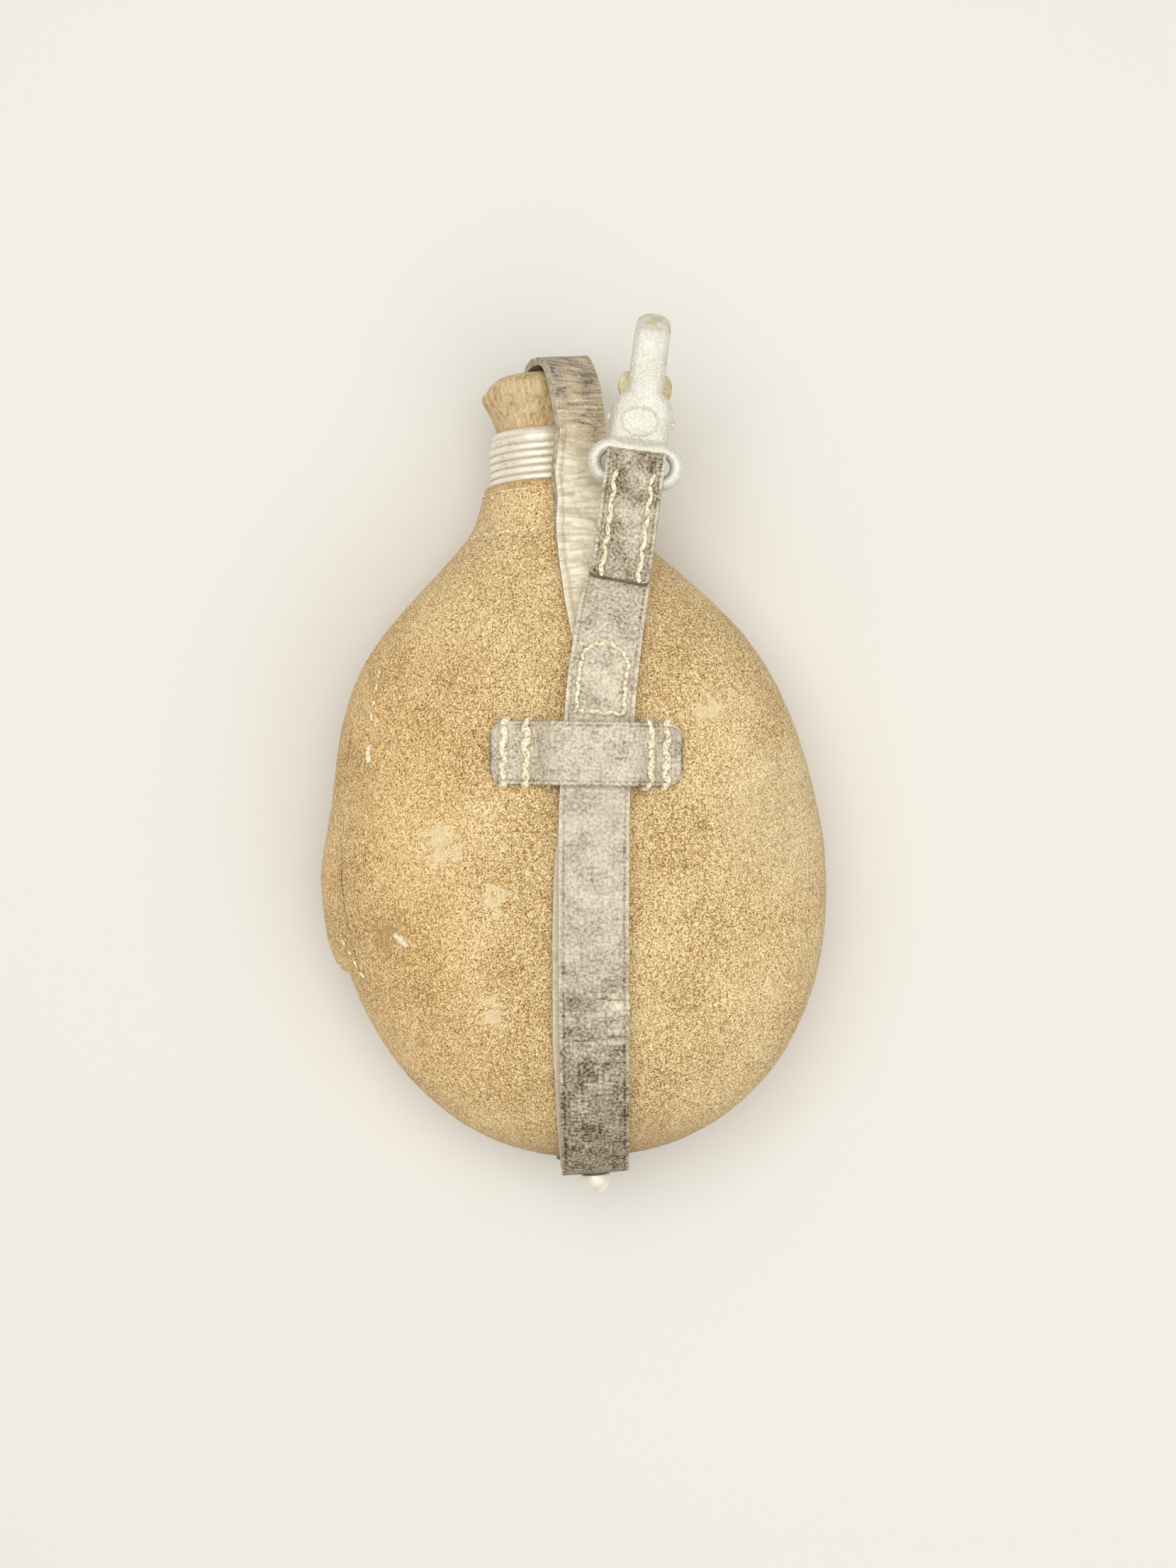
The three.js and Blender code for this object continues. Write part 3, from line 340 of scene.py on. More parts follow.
def drawnAluminium(name, look, roughness, bumpMm):
    material, tree, shader = startMaterial(name, Metallic=0.45, Roughness=roughness)
    place = addNode(tree, "ShaderNodeTexCoord").outputs["Object"]
    stain = noiseNode(tree, place, look["stainMm"], 5.0, Roughness=0.65)
    pits = noiseNode(tree, place, look["pitMm"], 3.0, Roughness=0.6)
    stainShare = look.get("stainShare", 1.0)
    tone = mathNode(tree, "MULTIPLY_ADD", stain, stainShare, 0.2 - stainShare / 2)
    tone = mathNode(tree, "MULTIPLY_ADD", pits, 0.6, tone)
    colour = rampNode(tree, tone, look["colours"])
    if "grooves" in look:
        grooves = look["grooves"]
        height = addNode(tree, "ShaderNodeSeparateXYZ", {"Vector": place}).outputs["Y"]
        grooveY = flaskPoint(0, neckThread["firstY"] - neckThread["pitch"] / 2, 0).y
        fromGroove = mathNode(tree, "SUBTRACT", height, grooveY)
        away = mathNode(tree, "PINGPONG", fromGroove, neckThread["pitch"] * mm / 2)
        uneven = mathNode(tree, "MULTIPLY", stain, grooves["reach"] * mm)
        grime = mathNode(tree, "SUBTRACT", uneven, away)
        low, high = grooves["softness"]
        mask = rangeNode(tree, grime, low * mm, high * mm, toMax=grooves["most"])
        colour = mixNode(tree, mask, colour, grooves["shade"])
    for spot, radiusMm, shade, most in look.get("stains", ()):
        radius = radiusMm * mm
        patchy = noiseNode(tree, place, 2.2, 4.0)
        near = mathNode(tree, "MULTIPLY_ADD", patchy, radius * 5, distanceNode(tree, place, spot))
        mask = rangeNode(tree, near, radius * 3.1, radius * 2.5, toMax=most)
        colour = mixNode(tree, mask, colour, shade)
    dress(tree, shader, colour, pits, 0.5, bumpMm)
    return material


# Cast aluminium: sand-cast, so it is grainy and matt, with yellow-green corrosion at the top of its finger.
# The gate was handled most and is browner.
hookTree = nodeTree("hook_body")
fingerTip = frontPoint(hookTree, 36.2, 245)
castLook = {
    "stainMm": 9, "stainShare": 0.35, "pitMm": 0.6,
    "colours": [(0.24, "#ADA793"), (0.44, "#DAD6C7"), (0.7, "#FBF9F0")],
    "stains": [(fingerTip, 7, "#CFC588", 0.7), (fingerTip + Vector((4.5, -4, 0)) * mm, 1.6, "#A98C4C", 0.7)],
}
gateLook = {"stainMm": 5, "pitMm": 0.6, "colours": [(0.25, "#9C8452"), (0.45, "#CDB98B"), (0.7, "#E8DCBC")]}
steelLook = {"stainMm": 3, "pitMm": 0.6, "colours": [(0.3, "#6B6052"), (0.5, "#9A9488"), (0.7, "#BDB8AC")]}
studLook = {"stainMm": 4, "pitMm": 0.7, "colours": [(0.2, "#D9CCAE"), (0.42, "#F3ECD9"), (0.7, "#FFFBEF")]}

# Cork: bark cut across, tan with darker fissures running up it
corkLook = {
    "fissureMm": (1.3, 11), "poreMm": 0.8,
    "colours": [(0.2, "#7A5A34"), (0.34, "#BB9B67"), (0.5, "#D3BA90"), (0.74, "#E8D3AB")],
}


def naturalCork():
    look = corkLook
    material, tree, shader = startMaterial("naturalCork", Roughness=0.85, Specular_IOR_Level=0.25)
    place = addNode(tree, "ShaderNodeTexCoord").outputs["Object"]
    drawn = stretch(tree, place, *look["fissureMm"])
    fissures = noiseNode(tree, drawn, 1000, 4.0, Roughness=0.6, Distortion=0.6)
    pores = noiseNode(tree, place, look["poreMm"], 3.0)
    tone = mathNode(tree, "MULTIPLY_ADD", pores, 0.5, fissures)
    tone = mathNode(tree, "SUBTRACT", tone, 0.25)
    dress(tree, shader, rampNode(tree, tone, look["colours"]), tone, 0.7, 0.6)
    return material


# Linen thread: waxed and twisted, cream turned yellowish, drawn with a coarse twist so that it shows
threadLook = {"twistMm": 0.8, "colours": [(0.34, "#B3A47F"), (0.47, "#E9DDBB"), (0.6, "#FFF8E2")]}


def linenThread():
    material, tree, shader = startMaterial("linenThread", Roughness=0.8)
    place = addNode(tree, "ShaderNodeTexCoord").outputs["Object"]
    strands = noiseNode(tree, place, threadLook["twistMm"], 3.0)
    dress(tree, shader, rampNode(tree, strands, threadLook["colours"]), strands, 0.6, 0.25)
    return material


felt = woolFelt()
strapLeather = harnessLeather("harnessLeather", harnessLook)
stopperLeather = harnessLeather("stopperLeather", stopperLook)
strapEdge = cutLeather("cutHarnessLeather", [(0.3, "#5E5242"), (0.55, "#857863"), (0.75, "#A79A84")])
stopperEdge = cutLeather("cutStopperLeather", [(0.3, "#8F826C"), (0.55, "#BDB19B"), (0.75, "#D6CBB6")])
neckMetal = drawnAluminium("drawnAluminium", aluminiumLook, 0.5, 0.15)
hookMetal = drawnAluminium("castAluminium", castLook, 0.62, 0.35)
gateMetal = drawnAluminium("handledAluminium", gateLook, 0.6, 0.3)
pinSteel = drawnAluminium("dullSteel", steelLook, 0.45, 0.1)
studMetal = drawnAluminium("studAluminium", studLook, 0.5, 0.1)
corkBark = naturalCork()
thread = linenThread()
print("materials ready")


# Pieces

def copyNode(name):
    bm = bmesh.new()
    bm.from_mesh(cad[name].data)
    bmesh.ops.remove_doubles(bm, verts=bm.verts, dist=0.005 * mm)
    return bm


def toQuads(bm):
    bmesh.ops.join_triangles(
        bm, faces=bm.faces, angle_face_threshold=math.radians(60), angle_shape_threshold=math.radians(110),
    )


def finishPiece(name, bm, material, body, stoodFor=()):
    mesh = bpy.data.meshes.new(name)
    bm.to_mesh(mesh)
    bm.free()
    if "custom_normal" in mesh.attributes:
        mesh.attributes.remove(mesh.attributes["custom_normal"])
    mesh.materials.clear()
    mesh.materials.append(material)
    mesh.shade_smooth()
    piece = bpy.data.objects.new(name, mesh)
    scene.collection.objects.link(piece)
    if body:
        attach(piece, body)
    if stoodFor:
        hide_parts(*stoodFor)
    return piece


def roundOff(piece, levels):
    modifier = piece.modifiers.new("roundOff", "SUBSURF")
    modifier.levels = modifier.render_levels = levels


def ruffle(piece, sizeMm, depthMm):
    texture = bpy.data.textures.new(piece.name + "Ruffle", "CLOUDS")
    texture.noise_scale = sizeMm * mm
    texture.noise_depth = 3
    modifier = piece.modifiers.new("ruffle", "DISPLACE")
    modifier.texture = texture
    modifier.texture_coords = "LOCAL"
    modifier.strength = depthMm * mm
    modifier.mid_level = 0.5


# Felt cover: each panel is joined to its half of the doubled collar, so that the cloth runs on to the hem
feltPieces = {
    "feltFront": {"node": "felt_front", "half": 1, "flat": (0.205, 0.25), "area": 0.034},
    "feltBack": {"node": "felt_back", "half": -1, "flat": (0.205, 0.25), "area": 0.031},
}
coverLean = [
    (0, 2.6), (30, 2.4), (60, 1.6), (90, 0.6), (115, 0), (140, -0.6), (160, -1.2), (178, -0.8), (188, 0),
]
coverSwell = [(112, 0), (135, 0.014), (165, 0.016), (182, 0)]
sideDent = {"height": 112, "length": 17, "depth": 1.6, "from": 48, "full": 66}


def settle(bm):
    # the flask and its cover lean a little, and the side with the flap is drawn in
    for vert in bm.verts:
        height = flaskHeight(vert.co)
        dent = sideDent["depth"] * math.exp(-((height - sideDent["height"]) / sideDent["length"]) ** 2)
        inward = ease((flaskOrigin.x - vert.co.x) / mm, sideDent["from"], sideDent["full"])
        vert.co.x += (between(height, coverLean) + dent * inward) * mm
        vert.co.x += between(height, coverSwell) * (vert.co.x - flaskOrigin.x)


seamHeight = (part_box("felt_front")[0].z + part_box("felt_back")[1].z) / 2
joinLow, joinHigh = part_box("felt_front")[1].y - 0.05 * mm, collarLow.y + 0.05 * mm


def joinCollar(bm, half):
    collar = copyNode("felt_collar")
    bmesh.ops.bisect_plane(
        collar, geom=[*collar.verts, *collar.edges, *collar.faces],
        plane_co=(0, 0, seamHeight + 0.1 * mm * half), plane_no=(0, 0, -half), clear_outer=True,
    )
    bmesh.ops.holes_fill(collar, edges=[e for e in collar.edges if e.is_boundary])
    spare = bpy.data.meshes.new("spareCollar")
    collar.to_mesh(spare)
    collar.free()
    bm.from_mesh(spare)
    bpy.data.meshes.remove(spare)
    inJoin = [v for v in bm.verts if joinLow < v.co.y < joinHigh]
    marked = set(inJoin)
    inside = [f for f in bm.faces if all(v in marked for v in f.verts)]
    bmesh.ops.delete(bm, geom=inside, context="FACES_ONLY")
    bmesh.ops.remove_doubles(bm, verts=[v for v in inJoin if v.is_valid], dist=0.5 * mm)


for name, look in feltPieces.items():
    bm = copyNode(look["node"])
    joinCollar(bm, look["half"])
    settle(bm)
    toQuads(bm)
    if name == "feltFront":
        settledTree = BVHTree.FromBMesh(bm)
    piece = finishPiece(name, bm, felt, "canteen", [look["node"], "felt_collar"])
    roundOff(piece, 3)
    ruffle(piece, 9, 0.5)
    ruffle(piece, 1.6, 0.35)


# Side flap: its front edge and upper end are sewn down flush with the panel, its lower corner stands off
flapShape = {
    "flat": (0.052, 0.082), "area": 0.004, "frontDegrees": 15, "sunk": 0.35,
    "studDegrees": (182, 196), "studShare": 0.5,
    "stand": [
        (62, 0.4), (65, 0.8), (70, 1.0), (82, 0.9), (92, 0.85), (103, 0.55), (112, 0.3), (125, 0.1),
        (142, 0.0),
    ],
}
bm = copyNode("closing_flap")
toQuads(bm)
bmesh.ops.subdivide_edges(bm, edges=bm.edges, cuts=2, use_grid_fill=True, smooth=0.5)


def sideAngle(point):
    return math.degrees(math.atan2(point.z - flaskOrigin.z, point.x - flaskOrigin.x)) % 360


frontEdge = min(sideAngle(vert.co) for vert in bm.verts)
for vert in bm.verts:
    seat, outward, _, gap = coverTree.find_nearest(vert.co)
    angle = sideAngle(vert.co)
    stand = between(flaskHeight(vert.co), flapShape["stand"])
    stand = max(stand, flapShape["studShare"] * ease(angle, *flapShape["studDegrees"]))
    keep = ease(angle - frontEdge, 0, flapShape["frontDegrees"]) * stand
    vert.co = seat + outward * (gap * keep - flapShape["sunk"] * mm * (1 - keep))
settle(bm)
flapTree = BVHTree.FromBMesh(bm)
closingFlap = finishPiece("closingFlap", bm, felt, "canteen", ["closing_flap"])
roundOff(closingFlap, 1)
ruffle(closingFlap, 9, 0.5)
print("felt cover ready")

# Flask: the drawn shell, and the rings rolled into its neck
bm = copyNode("flask_shell")
settle(bm)
toQuads(bm)
roundOff(finishPiece("flaskBody", bm, neckMetal, "canteen", ["flask_shell"]), 2)

bm = bmesh.new()
for turn in range(neckThread["turns"]):
    ring = bmesh.ops.create_circle(bm, segments=12, radius=neckThread["bead"] * mm)["verts"]
    bmesh.ops.scale(bm, verts=ring, vec=(neckThread["flatness"], 1, 1))
    height = neckThread["firstY"] + neckThread["pitch"] * turn
    swell = neckThread["swell"] * (1 - turn / neckThread["turns"])
    bmesh.ops.translate(bm, verts=ring, vec=flaskPoint(neckThread["radius"] + swell, height, 0))
    ringEdges = dict.fromkeys(edge for vert in ring for edge in vert.link_edges)
    bmesh.ops.spin(
        bm, geom=[*ring, *ringEdges], cent=flaskPoint(0, height, 0), axis=(0, 1, 0), angle=math.tau,
        steps=neckThread["steps"], use_merge=True,
    )
bmesh.ops.remove_doubles(bm, verts=bm.verts, dist=0.01 * mm)
bmesh.ops.recalc_face_normals(bm, faces=bm.faces)
finishPiece("neckThread", bm, neckMetal, "canteen")

# Cork: softened from its solid, cracked upwards and a little crooked
corkShape = {
    "crackMm": 0.5, "crackAcross": 3.2, "crackAlong": 16, "cracked": 20, "worn": -9.5, "wornSlope": 0.9,
}
bm = copyNode("cork_stopper")
toQuads(bm)
bmesh.ops.subdivide_edges(bm, edges=bm.edges, cuts=2, use_grid_fill=True, smooth=0.6)
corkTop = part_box("cork_stopper")[1].y
for vert in bm.verts:
    # its upper left corner is worn off
    leftOf = flaskOrigin.x + corkShape["worn"] * mm - vert.co.x
    vert.co.y = min(vert.co.y, corkTop - corkShape["wornSlope"] * max(0.0, leftOf))
    out = Vector((vert.co.x - flaskOrigin.x, 0, vert.co.z - flaskOrigin.z))
    if out.length > 1 * mm and vert.co.y > corkTop - corkShape["cracked"] * mm:
        across, along = corkShape["crackAcross"], corkShape["crackAlong"]
        seat = Vector((vert.co.x / across, vert.co.y / along, vert.co.z / across)) / mm
        vert.co += out.normalized() * noise.noise(seat) * corkShape["crackMm"] * mm
roundOff(finishPiece("corkStopper", bm, corkBark, "stopper", ["cork_stopper"]), 2)
print("flask and cork ready")


# Straps: each is traced along the middle of its solid, then rebuilt as one band of leather
leatherThickness = 2.2 * mm
holeSteps = 9  # a run of steps with no leather above and below, longer than a stud hole, is the strap's end


def walkStrap(tree, centre, along, up, half, step):
    run = []
    width = 2 * half
    missed = 0
    while missed < holeSteps:
        across = along.cross(up).normalized()
        up = across.cross(along).normalized()
        above, below = tree.ray_cast(centre, up), tree.ray_cast(centre, -up)
        missed += 1
        if above[0] and below[0] and above[3] + below[3] < 1.7 * leatherThickness:
            centre = (above[0] + below[0]) / 2
            up = (above[1] - below[1]).normalized()
            missed = 0
        left, right = tree.ray_cast(centre, across), tree.ray_cast(centre, -across)
        if left[0] and right[0] and 0.8 * width < left[3] + right[3] < 1.2 * width:
            centre = (left[0] + right[0]) / 2
            width = left[3] + right[3]
        if run:
            along = (centre - run[-1][0]).normalized()
        run.append((centre, up, width / 2))
        centre = centre + along * step
    return run[:-missed]


def smoothRun(stations, passes):
    for _ in range(passes):
        inner = []
        for before, station, after in zip(stations, stations[1:], stations[2:]):
            centre, up, half = ((a + 2 * b + c) / 4 for a, b, c in zip(before, station, after))
            inner.append((centre, up.normalized(), half))
        stations = [stations[0], *inner, stations[-1]]
    return stations


def traceStrap(node, x, y, side, heading, half, step=0.8 * mm):
    # (x, y) is a place on the strap, seen from the front (side 1) or the back (side -1)
    bm = copyNode(node)
    tree = BVHTree.FromBMesh(bm)
    bm.free()
    top, up, _, _ = tree.ray_cast(flaskPoint(x, y, 150 * side), Vector((0, 0, -side)))
    centre = top - up * leatherThickness / 2
    forward = walkStrap(tree, centre, Vector(heading), up, half * mm, step)
    backward = walkStrap(tree, centre, -Vector(heading), up, half * mm, step)
    stations = smoothRun(backward[:0:-1] + forward, 4)
    print(node, "traced in", len(stations), "stations")
    return stations


def traceKeeper(node, side, turn, half, step=0.8 * mm):
    # the loop's top face, followed from end to end, seen from the front (side 1) or the back (side -1)
    tree = nodeTree(node)
    low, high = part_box(node)
    along = Vector((math.cos(turn), math.sin(turn), 0))
    reach = (high.x - low.x) / 2 / math.cos(turn) - 0.8 * mm
    count = round(2 * reach / step)
    tops = []
    for i in range(count + 1):
        place = (low + high) / 2 + along * (2 * i / count - 1) * reach
        place.z = 0.15 * side
        hit = tree.ray_cast(place, Vector((0, 0, -side)))
        if hit[0]:
            tops.append((hit[0], Vector((0, 0, side)), half * mm))
    tops = smoothRun(tops, 6)
    stations = []
    for i, (top, outward, width) in enumerate(tops):
        run = (tops[min(i + 1, len(tops) - 1)][0] - tops[max(i - 1, 0)][0]).normalized()
        up = (outward - run * run.dot(outward)).normalized()
        stations.append((top - up * leatherThickness / 2, up, width))
    print(node, "traced in", len(stations), "stations")
    return stations


def refine(stations, parts):
    return [
        tuple(a + (b - a) * part / parts for a, b in zip(station, following))
        for station, following in zip(stations, stations[1:]) for part in range(parts)
    ]


def hug(stations, layer):
    # round the flask's foot the straps are drawn tight
    # layer: how many thicknesses the strap's middle lies off the felt
    drawn = []
    for centre, up, half in stations:
        gap = coverTree.find_nearest(centre)[3] - layer * leatherThickness - 0.3 * mm
        drawn.append((centre - up * max(0.0, gap) * ease(flaskHeight(centre), 22, 8), up, half))
    return smoothRun(drawn, 3)


def runLengths(stations):
    lengths = [0.0]
    for a, b in zip(stations, stations[1:]):
        lengths.append(lengths[-1] + (b[0] - a[0]).length)
    return lengths


def acrossAt(stations, row):
    before, after = stations[max(row - 1, 0)], stations[min(row + 1, len(stations) - 1)]
    return (after[0] - before[0]).cross(stations[row][1]).normalized()


def cornerShare(distance, radius, half):
    # share of the half-width left at this distance from a rounded end
    if radius <= 0 or distance >= radius:
        return 1.0
    return 1 - (radius - math.sqrt(max(0.0, radius ** 2 - (radius - distance) ** 2))) / half


# wander: how far the cut edges stray; calm: the share of a crease that is missing at the stiff edges
bandShape = {
    "wander": 0.012, "wanderMm": 7, "across": 0.8, "calm": 0.75, "calmFrom": 0.78, "creaseLightAndShade": 0.55,
    "roundMm": 0.55, "roundDegrees": 50,
}


def ribbon(name, stations, look, hide, body, stoodFor):
    # hide: the materials of the faces and of the cut edges
    lengths = runLengths(stations)
    total = lengths[-1]
    seed = look["seed"]
    startMm, endMm = look["ends"]
    bm = bmesh.new()
    bmesh.ops.create_grid(bm, x_segments=look["columns"], y_segments=len(stations) - 1, size=0.5)
    rows = {place: i for i, place in enumerate(sorted({round(v.co.y, 5) for v in bm.verts}))}
    toneLayer = bm.verts.layers.float.new("tone")
    wornLayer = bm.verts.layers.float.new("worn")
    thickLayer = bm.verts.layers.deform.new()
    places = {}
    for vert in bm.verts:
        row = rows[round(vert.co.y, 5)]
        side = 2 * vert.co.x
        station = stations[row]
        centre, up, half = station
        run = lengths[row]
        taper = min(cornerShare(run, startMm * mm, half), cornerShare(total - run, endMm * mm, half))
        stray = noise.noise(Vector((run / bandShape["wanderMm"] / mm, 3 * side, seed)))
        wander = 1 + bandShape["wander"] * stray
        wave = noise.noise(Vector((side * bandShape["across"], run / look["waveMm"] / mm, seed)))
        pucker = noise.noise(Vector((side * bandShape["across"], run / look["puckerMm"] / mm, seed + 5)))
        calm = 1 - bandShape["calm"] * ease(abs(side), bandShape["calmFrom"], 1.0)
        crease = look["pucker"](station, side) * pucker * calm
        thin = look["thin"](station)
        lift = look["wave"] * wave + crease - look["cup"] * side * side
        lift += look["side"] * (1 - thin) * leatherThickness / mm / 2
        vert[thickLayer][0] = thin
        # painted light and shade: the tone is lighter where the creases lift the leather and darker where
        # they sink
        vert[toneLayer] = look["tone"](station, run / total, side) + bandShape["creaseLightAndShade"] * crease
        vert[wornLayer] = look["worn"](station, run / total)
        places[vert] = (side * leatherLook["halfWidth"] * mm, run)
        vert.co = centre + acrossAt(stations, row) * side * half * taper * wander + up * lift * mm
    strapMap = bm.loops.layers.uv.new("strapMap")
    for face in bm.faces:
        for loop in face.loops:
            loop[strapMap].uv = places[loop.vert]
    piece = finishPiece(name, bm, hide[0], body, stoodFor)
    piece.data.materials.append(hide[1])
    thicken = piece.modifiers.new("thicken", "SOLIDIFY")
    thicken.material_offset_rim = 1
    thicken.thickness = leatherThickness
    thicken.offset = 0
    thicken.use_even_offset = True
    piece.vertex_groups.new(name="thickness")
    thicken.vertex_group = "thickness"
    soften = piece.modifiers.new("soften", "BEVEL")
    soften.width = bandShape["roundMm"] * mm
    soften.segments = 3
    soften.limit_method = "ANGLE"
    soften.angle_limit = math.radians(bandShape["roundDegrees"])
    return piece


darkLeather = (strapLeather, strapEdge)
paleLeather = (stopperLeather, stopperEdge)

# Hook strap
strapStitches = {
    "spacing": 3.2, "thick": 1.55, "flapSides": (-0.63, 0.63), "flapY": (169.8, 201),
    "loopSpacing": 2.2, "loopThick": 1.4, "loopY": (131.5, 152), "loopSide": 0.68, "archY": 146,
}


def rowShade(side, place):
    # a row of stitches painted darker: grime drawn into it, and painted shade in its groove
    return 1 - ease(abs(abs(side) - place), 0.05, 0.2)


turnedShare = 0.86  # from this share of its length on, the strap is turned back through the hook's eye
hookTone = [
    (-10, 0.27), (10, 0.26), (35, 0.36), (60, 0.5), (75, 0.58), (112, 0.62), (128, 0.66), (150, 0.64),
    (159, 0.55), (205, 0.5),
]
hookWear = [(-10, 1.9), (35, 1.8), (55, 1.5), (75, 1.35), (112, 1.3), (135, 1.6), (160, 1.6)]


def hookStrapTone(station, share, side):
    # its rows of stitches are painted darker: grime and painted shade in their grooves
    height = flaskHeight(station[0])
    if share > turnedShare:
        patch = noise.noise(Vector((1.2 * side, height / 6, 4.0)))
        return 0.47 + 0.22 * patch - 0.12 * rowShade(side, strapStitches["flapSides"][1])
    legs = rowShade(side, strapStitches["loopSide"]) * ease(height, 128, 132) * ease(height, 151, 147)
    return between(height, hookTone) - 0.12 * legs


def hookStrapPucker(station, side):
    # creases where the strap bends down to the foot, deepest at its right edge
    height = flaskHeight(station[0])
    return 0.06 + 0.9 * ease(height, 58, 50) * ease(height, 32, 42) * (0.3 + 0.7 * ease(side, -0.6, 0.7))


hookStrapLook = {
    "columns": 16, "cup": 0.16, "wave": 0.14, "waveMm": 11, "puckerMm": 1.1, "seed": 3.0, "ends": (1.0, 1.4),
    "side": 0, "thin": lambda station: 1.0,
    "pucker": hookStrapPucker,
    "tone": hookStrapTone,
    "worn": lambda station, share: 1.7 if share > turnedShare else between(flaskHeight(station[0]), hookWear),
}
hookShift = [(0, 0), (30, -0.3), (60, -0.65), (115, -0.65), (128, -0.65), (142, -1.3), (160, -1.3), (176, 0)]
hookLoop = {"low": 188, "high": 203, "rise": 2.4, "lean": 12}
hookStations = []
for centre, up, half in hug(traceStrap("hook_strap", 4.6, 64, 1, (0, 1, 0), 9.3), 1.5):
    # it wanders a little to the left, and its loop reaches the upper bar of the hook's eye
    height = flaskHeight(centre)
    rise = hookLoop["rise"] * ease(height, hookLoop["low"], hookLoop["high"])
    lean = math.radians(hookLoop["lean"])
    shift = Vector((between(height, hookShift) + rise * math.sin(lean), rise * math.cos(lean), 0))
    hookStations.append((centre + shift * mm, up, half + 0.6 * mm * ease(height, 176, 160)))
hookStations = smoothRun(refine(hookStations, 2), 2)
ribbon("hookStrap", hookStations, hookStrapLook, darkLeather, "canteen", ["hook_strap"])

# Under strap and back strap: thinned at the upper end, where the stopper strap lies on them
underStrapLook = {
    "columns": 12, "cup": 0.1, "wave": 0.12, "waveMm": 13, "puckerMm": 3.0, "seed": 9.0, "ends": (1.0, 1.0),
    "side": -1, "thin": lambda station: 1 - 0.55 * ease(flaskHeight(station[0]), 146, 153),
    "pucker": lambda station, side: 0.05,
    "tone": lambda station, share, side: 0.6,
    "worn": lambda station, share: 0.8,
}
lapEnd, lapStart = 153.0, 161.0  # the stopper strap's ends lie on the lower straps between these heights
underNarrowed = [(0, 0.7), (15, 0.2), (40, -0.4), (75, -0.45), (88, -0.2), (98, 0.25), (112, 0.7), (144, 1.2)]
underStations = []
for centre, up, half in hug(traceStrap("under_strap", 2.6, 64, 1, (0, 1, 0), 9.5), 0.5):
    # only its left edge shows beside the hook strap, and above the keeper not even that
    narrowed = between(flaskHeight(centre), underNarrowed) * mm
    underStations.append((centre + Vector((narrowed, 0, 0)), up, half - narrowed))
ribbon(
    "underStrap", [s for s in underStations if flaskHeight(s[0]) < lapStart], underStrapLook, paleLeather,
    "canteen", ["under_strap"],
)

backStrapLook = dict(underStrapLook, seed=14.0, tone=lambda station, share, side: 0.45)
backStations = hug(traceStrap("back_strap", -2, 60, -1, (0, 1, 0), 9.5), 0.5)
ribbon(
    "backStrap", [s for s in backStations if flaskHeight(s[0]) < lapStart], backStrapLook, darkLeather,
    "canteen", ["back_strap"],
)

# Stopper strap
stopperTone = [(150, 0.68), (185, 0.77), (207, 0.74), (216, 0.5), (228, 0.31), (245, 0.24)]


def stopperStrapTone(station, share, side):
    # a dark line of painted shade runs in the crease beside the rolled left edge
    height = flaskHeight(station[0])
    place = 0.8 + 0.05 * noise.noise(Vector((0.0, height / 6, 8.0)))
    crease = 1 - ease(abs(side - place), 0.0, 0.07)
    return between(height, stopperTone) - 0.3 * crease * ease(height, 222, 212)


def stopperStrapPucker(station, side):
    # fine cross creases where it rises free beside the neck
    height = flaskHeight(station[0])
    return 0.65 * ease(height, 220, 209) * ease(height, 166, 176)


stopperStrapLook = {
    "columns": 34, "cup": 0.22, "wave": 0.25, "waveMm": 9, "puckerMm": 0.95, "seed": 21.0, "ends": (2.0, 2.0),
    "side": 1, "thin": lambda station: 1 - 0.42 * ease(flaskHeight(station[0]), lapStart + 5, lapStart),
    "pucker": stopperStrapPucker,
    "tone": stopperStrapTone,
    "worn": lambda station, share: 1.2 + 0.9 * ease(flaskHeight(station[0]), 208, 218),
}
# seen from the front its left edge swings out over the collar, then in below the hook strap
stopperLeft = [(153, 4.8), (160, 4.0), (165, 3.4), (175, 2.6), (192, 1.7), (203, 1.6), (216, 4.5)]
stopperWidth = 19 * mm
stopperTwist = math.radians(-26)  # over the neck the strap is turned, so that its left cut edge shows
archStations = traceStrap("stopper_strap", 11.5, 205, 1, (0, -1, 0), 8)
footY = max(flaskHeight(archStations[0][0]), flaskHeight(archStations[-1][0])) - 0.4
backFoot = [s for s in backStations if lapEnd < flaskHeight(s[0]) < footY]
frontFoot = [s for s in underStations if lapEnd < flaskHeight(s[0]) < footY]
stopperStations = smoothRun(backFoot + archStations + frontFoot[::-1], 6)
softBend = smoothRun(stopperStations, 30)
for i, (centre, up, half) in enumerate(stopperStations):
    if up.z > 0:
        # it lifts off the collar in a soft bend
        share = ease(flaskHeight(centre), 206, 198) * ease(flaskHeight(centre), 163, 170)
        stopperStations[i] = tuple(a + (b - a) * share for a, b in zip(stopperStations[i], softBend[i]))
for i, (centre, up, half) in enumerate(stopperStations):
    if up.z > 0:
        height = flaskHeight(centre)
        leftEdge, rightEdge = centre.x - half, centre.x + half
        swung = flaskOrigin.x + between(height, stopperLeft) * mm
        leftEdge += (swung - leftEdge) * ease(height, 222, 212)
        rightEdge = min(rightEdge, leftEdge + stopperWidth)
        centre, half = Vector(((leftEdge + rightEdge) / 2, centre.y, centre.z)), (rightEdge - leftEdge) / 2
        turn = stopperTwist * ease(height, 184, 210) * ease(up.z, 0.2, 0.8)
        run = stopperStations[min(i + 1, len(stopperStations) - 1)][0] - stopperStations[i - 1][0]
        turned = Matrix.Rotation(turn, 3, run.normalized()) @ up
        stopperStations[i] = (centre, turned, min(half / math.cos(turn), stopperWidth / 2))
stopperStations = smoothRun(refine(stopperStations, 3), 6)
stopperStrap = ribbon(
    "stopperStrap", stopperStations, stopperStrapLook, paleLeather, None, ["stopper_strap"],
)
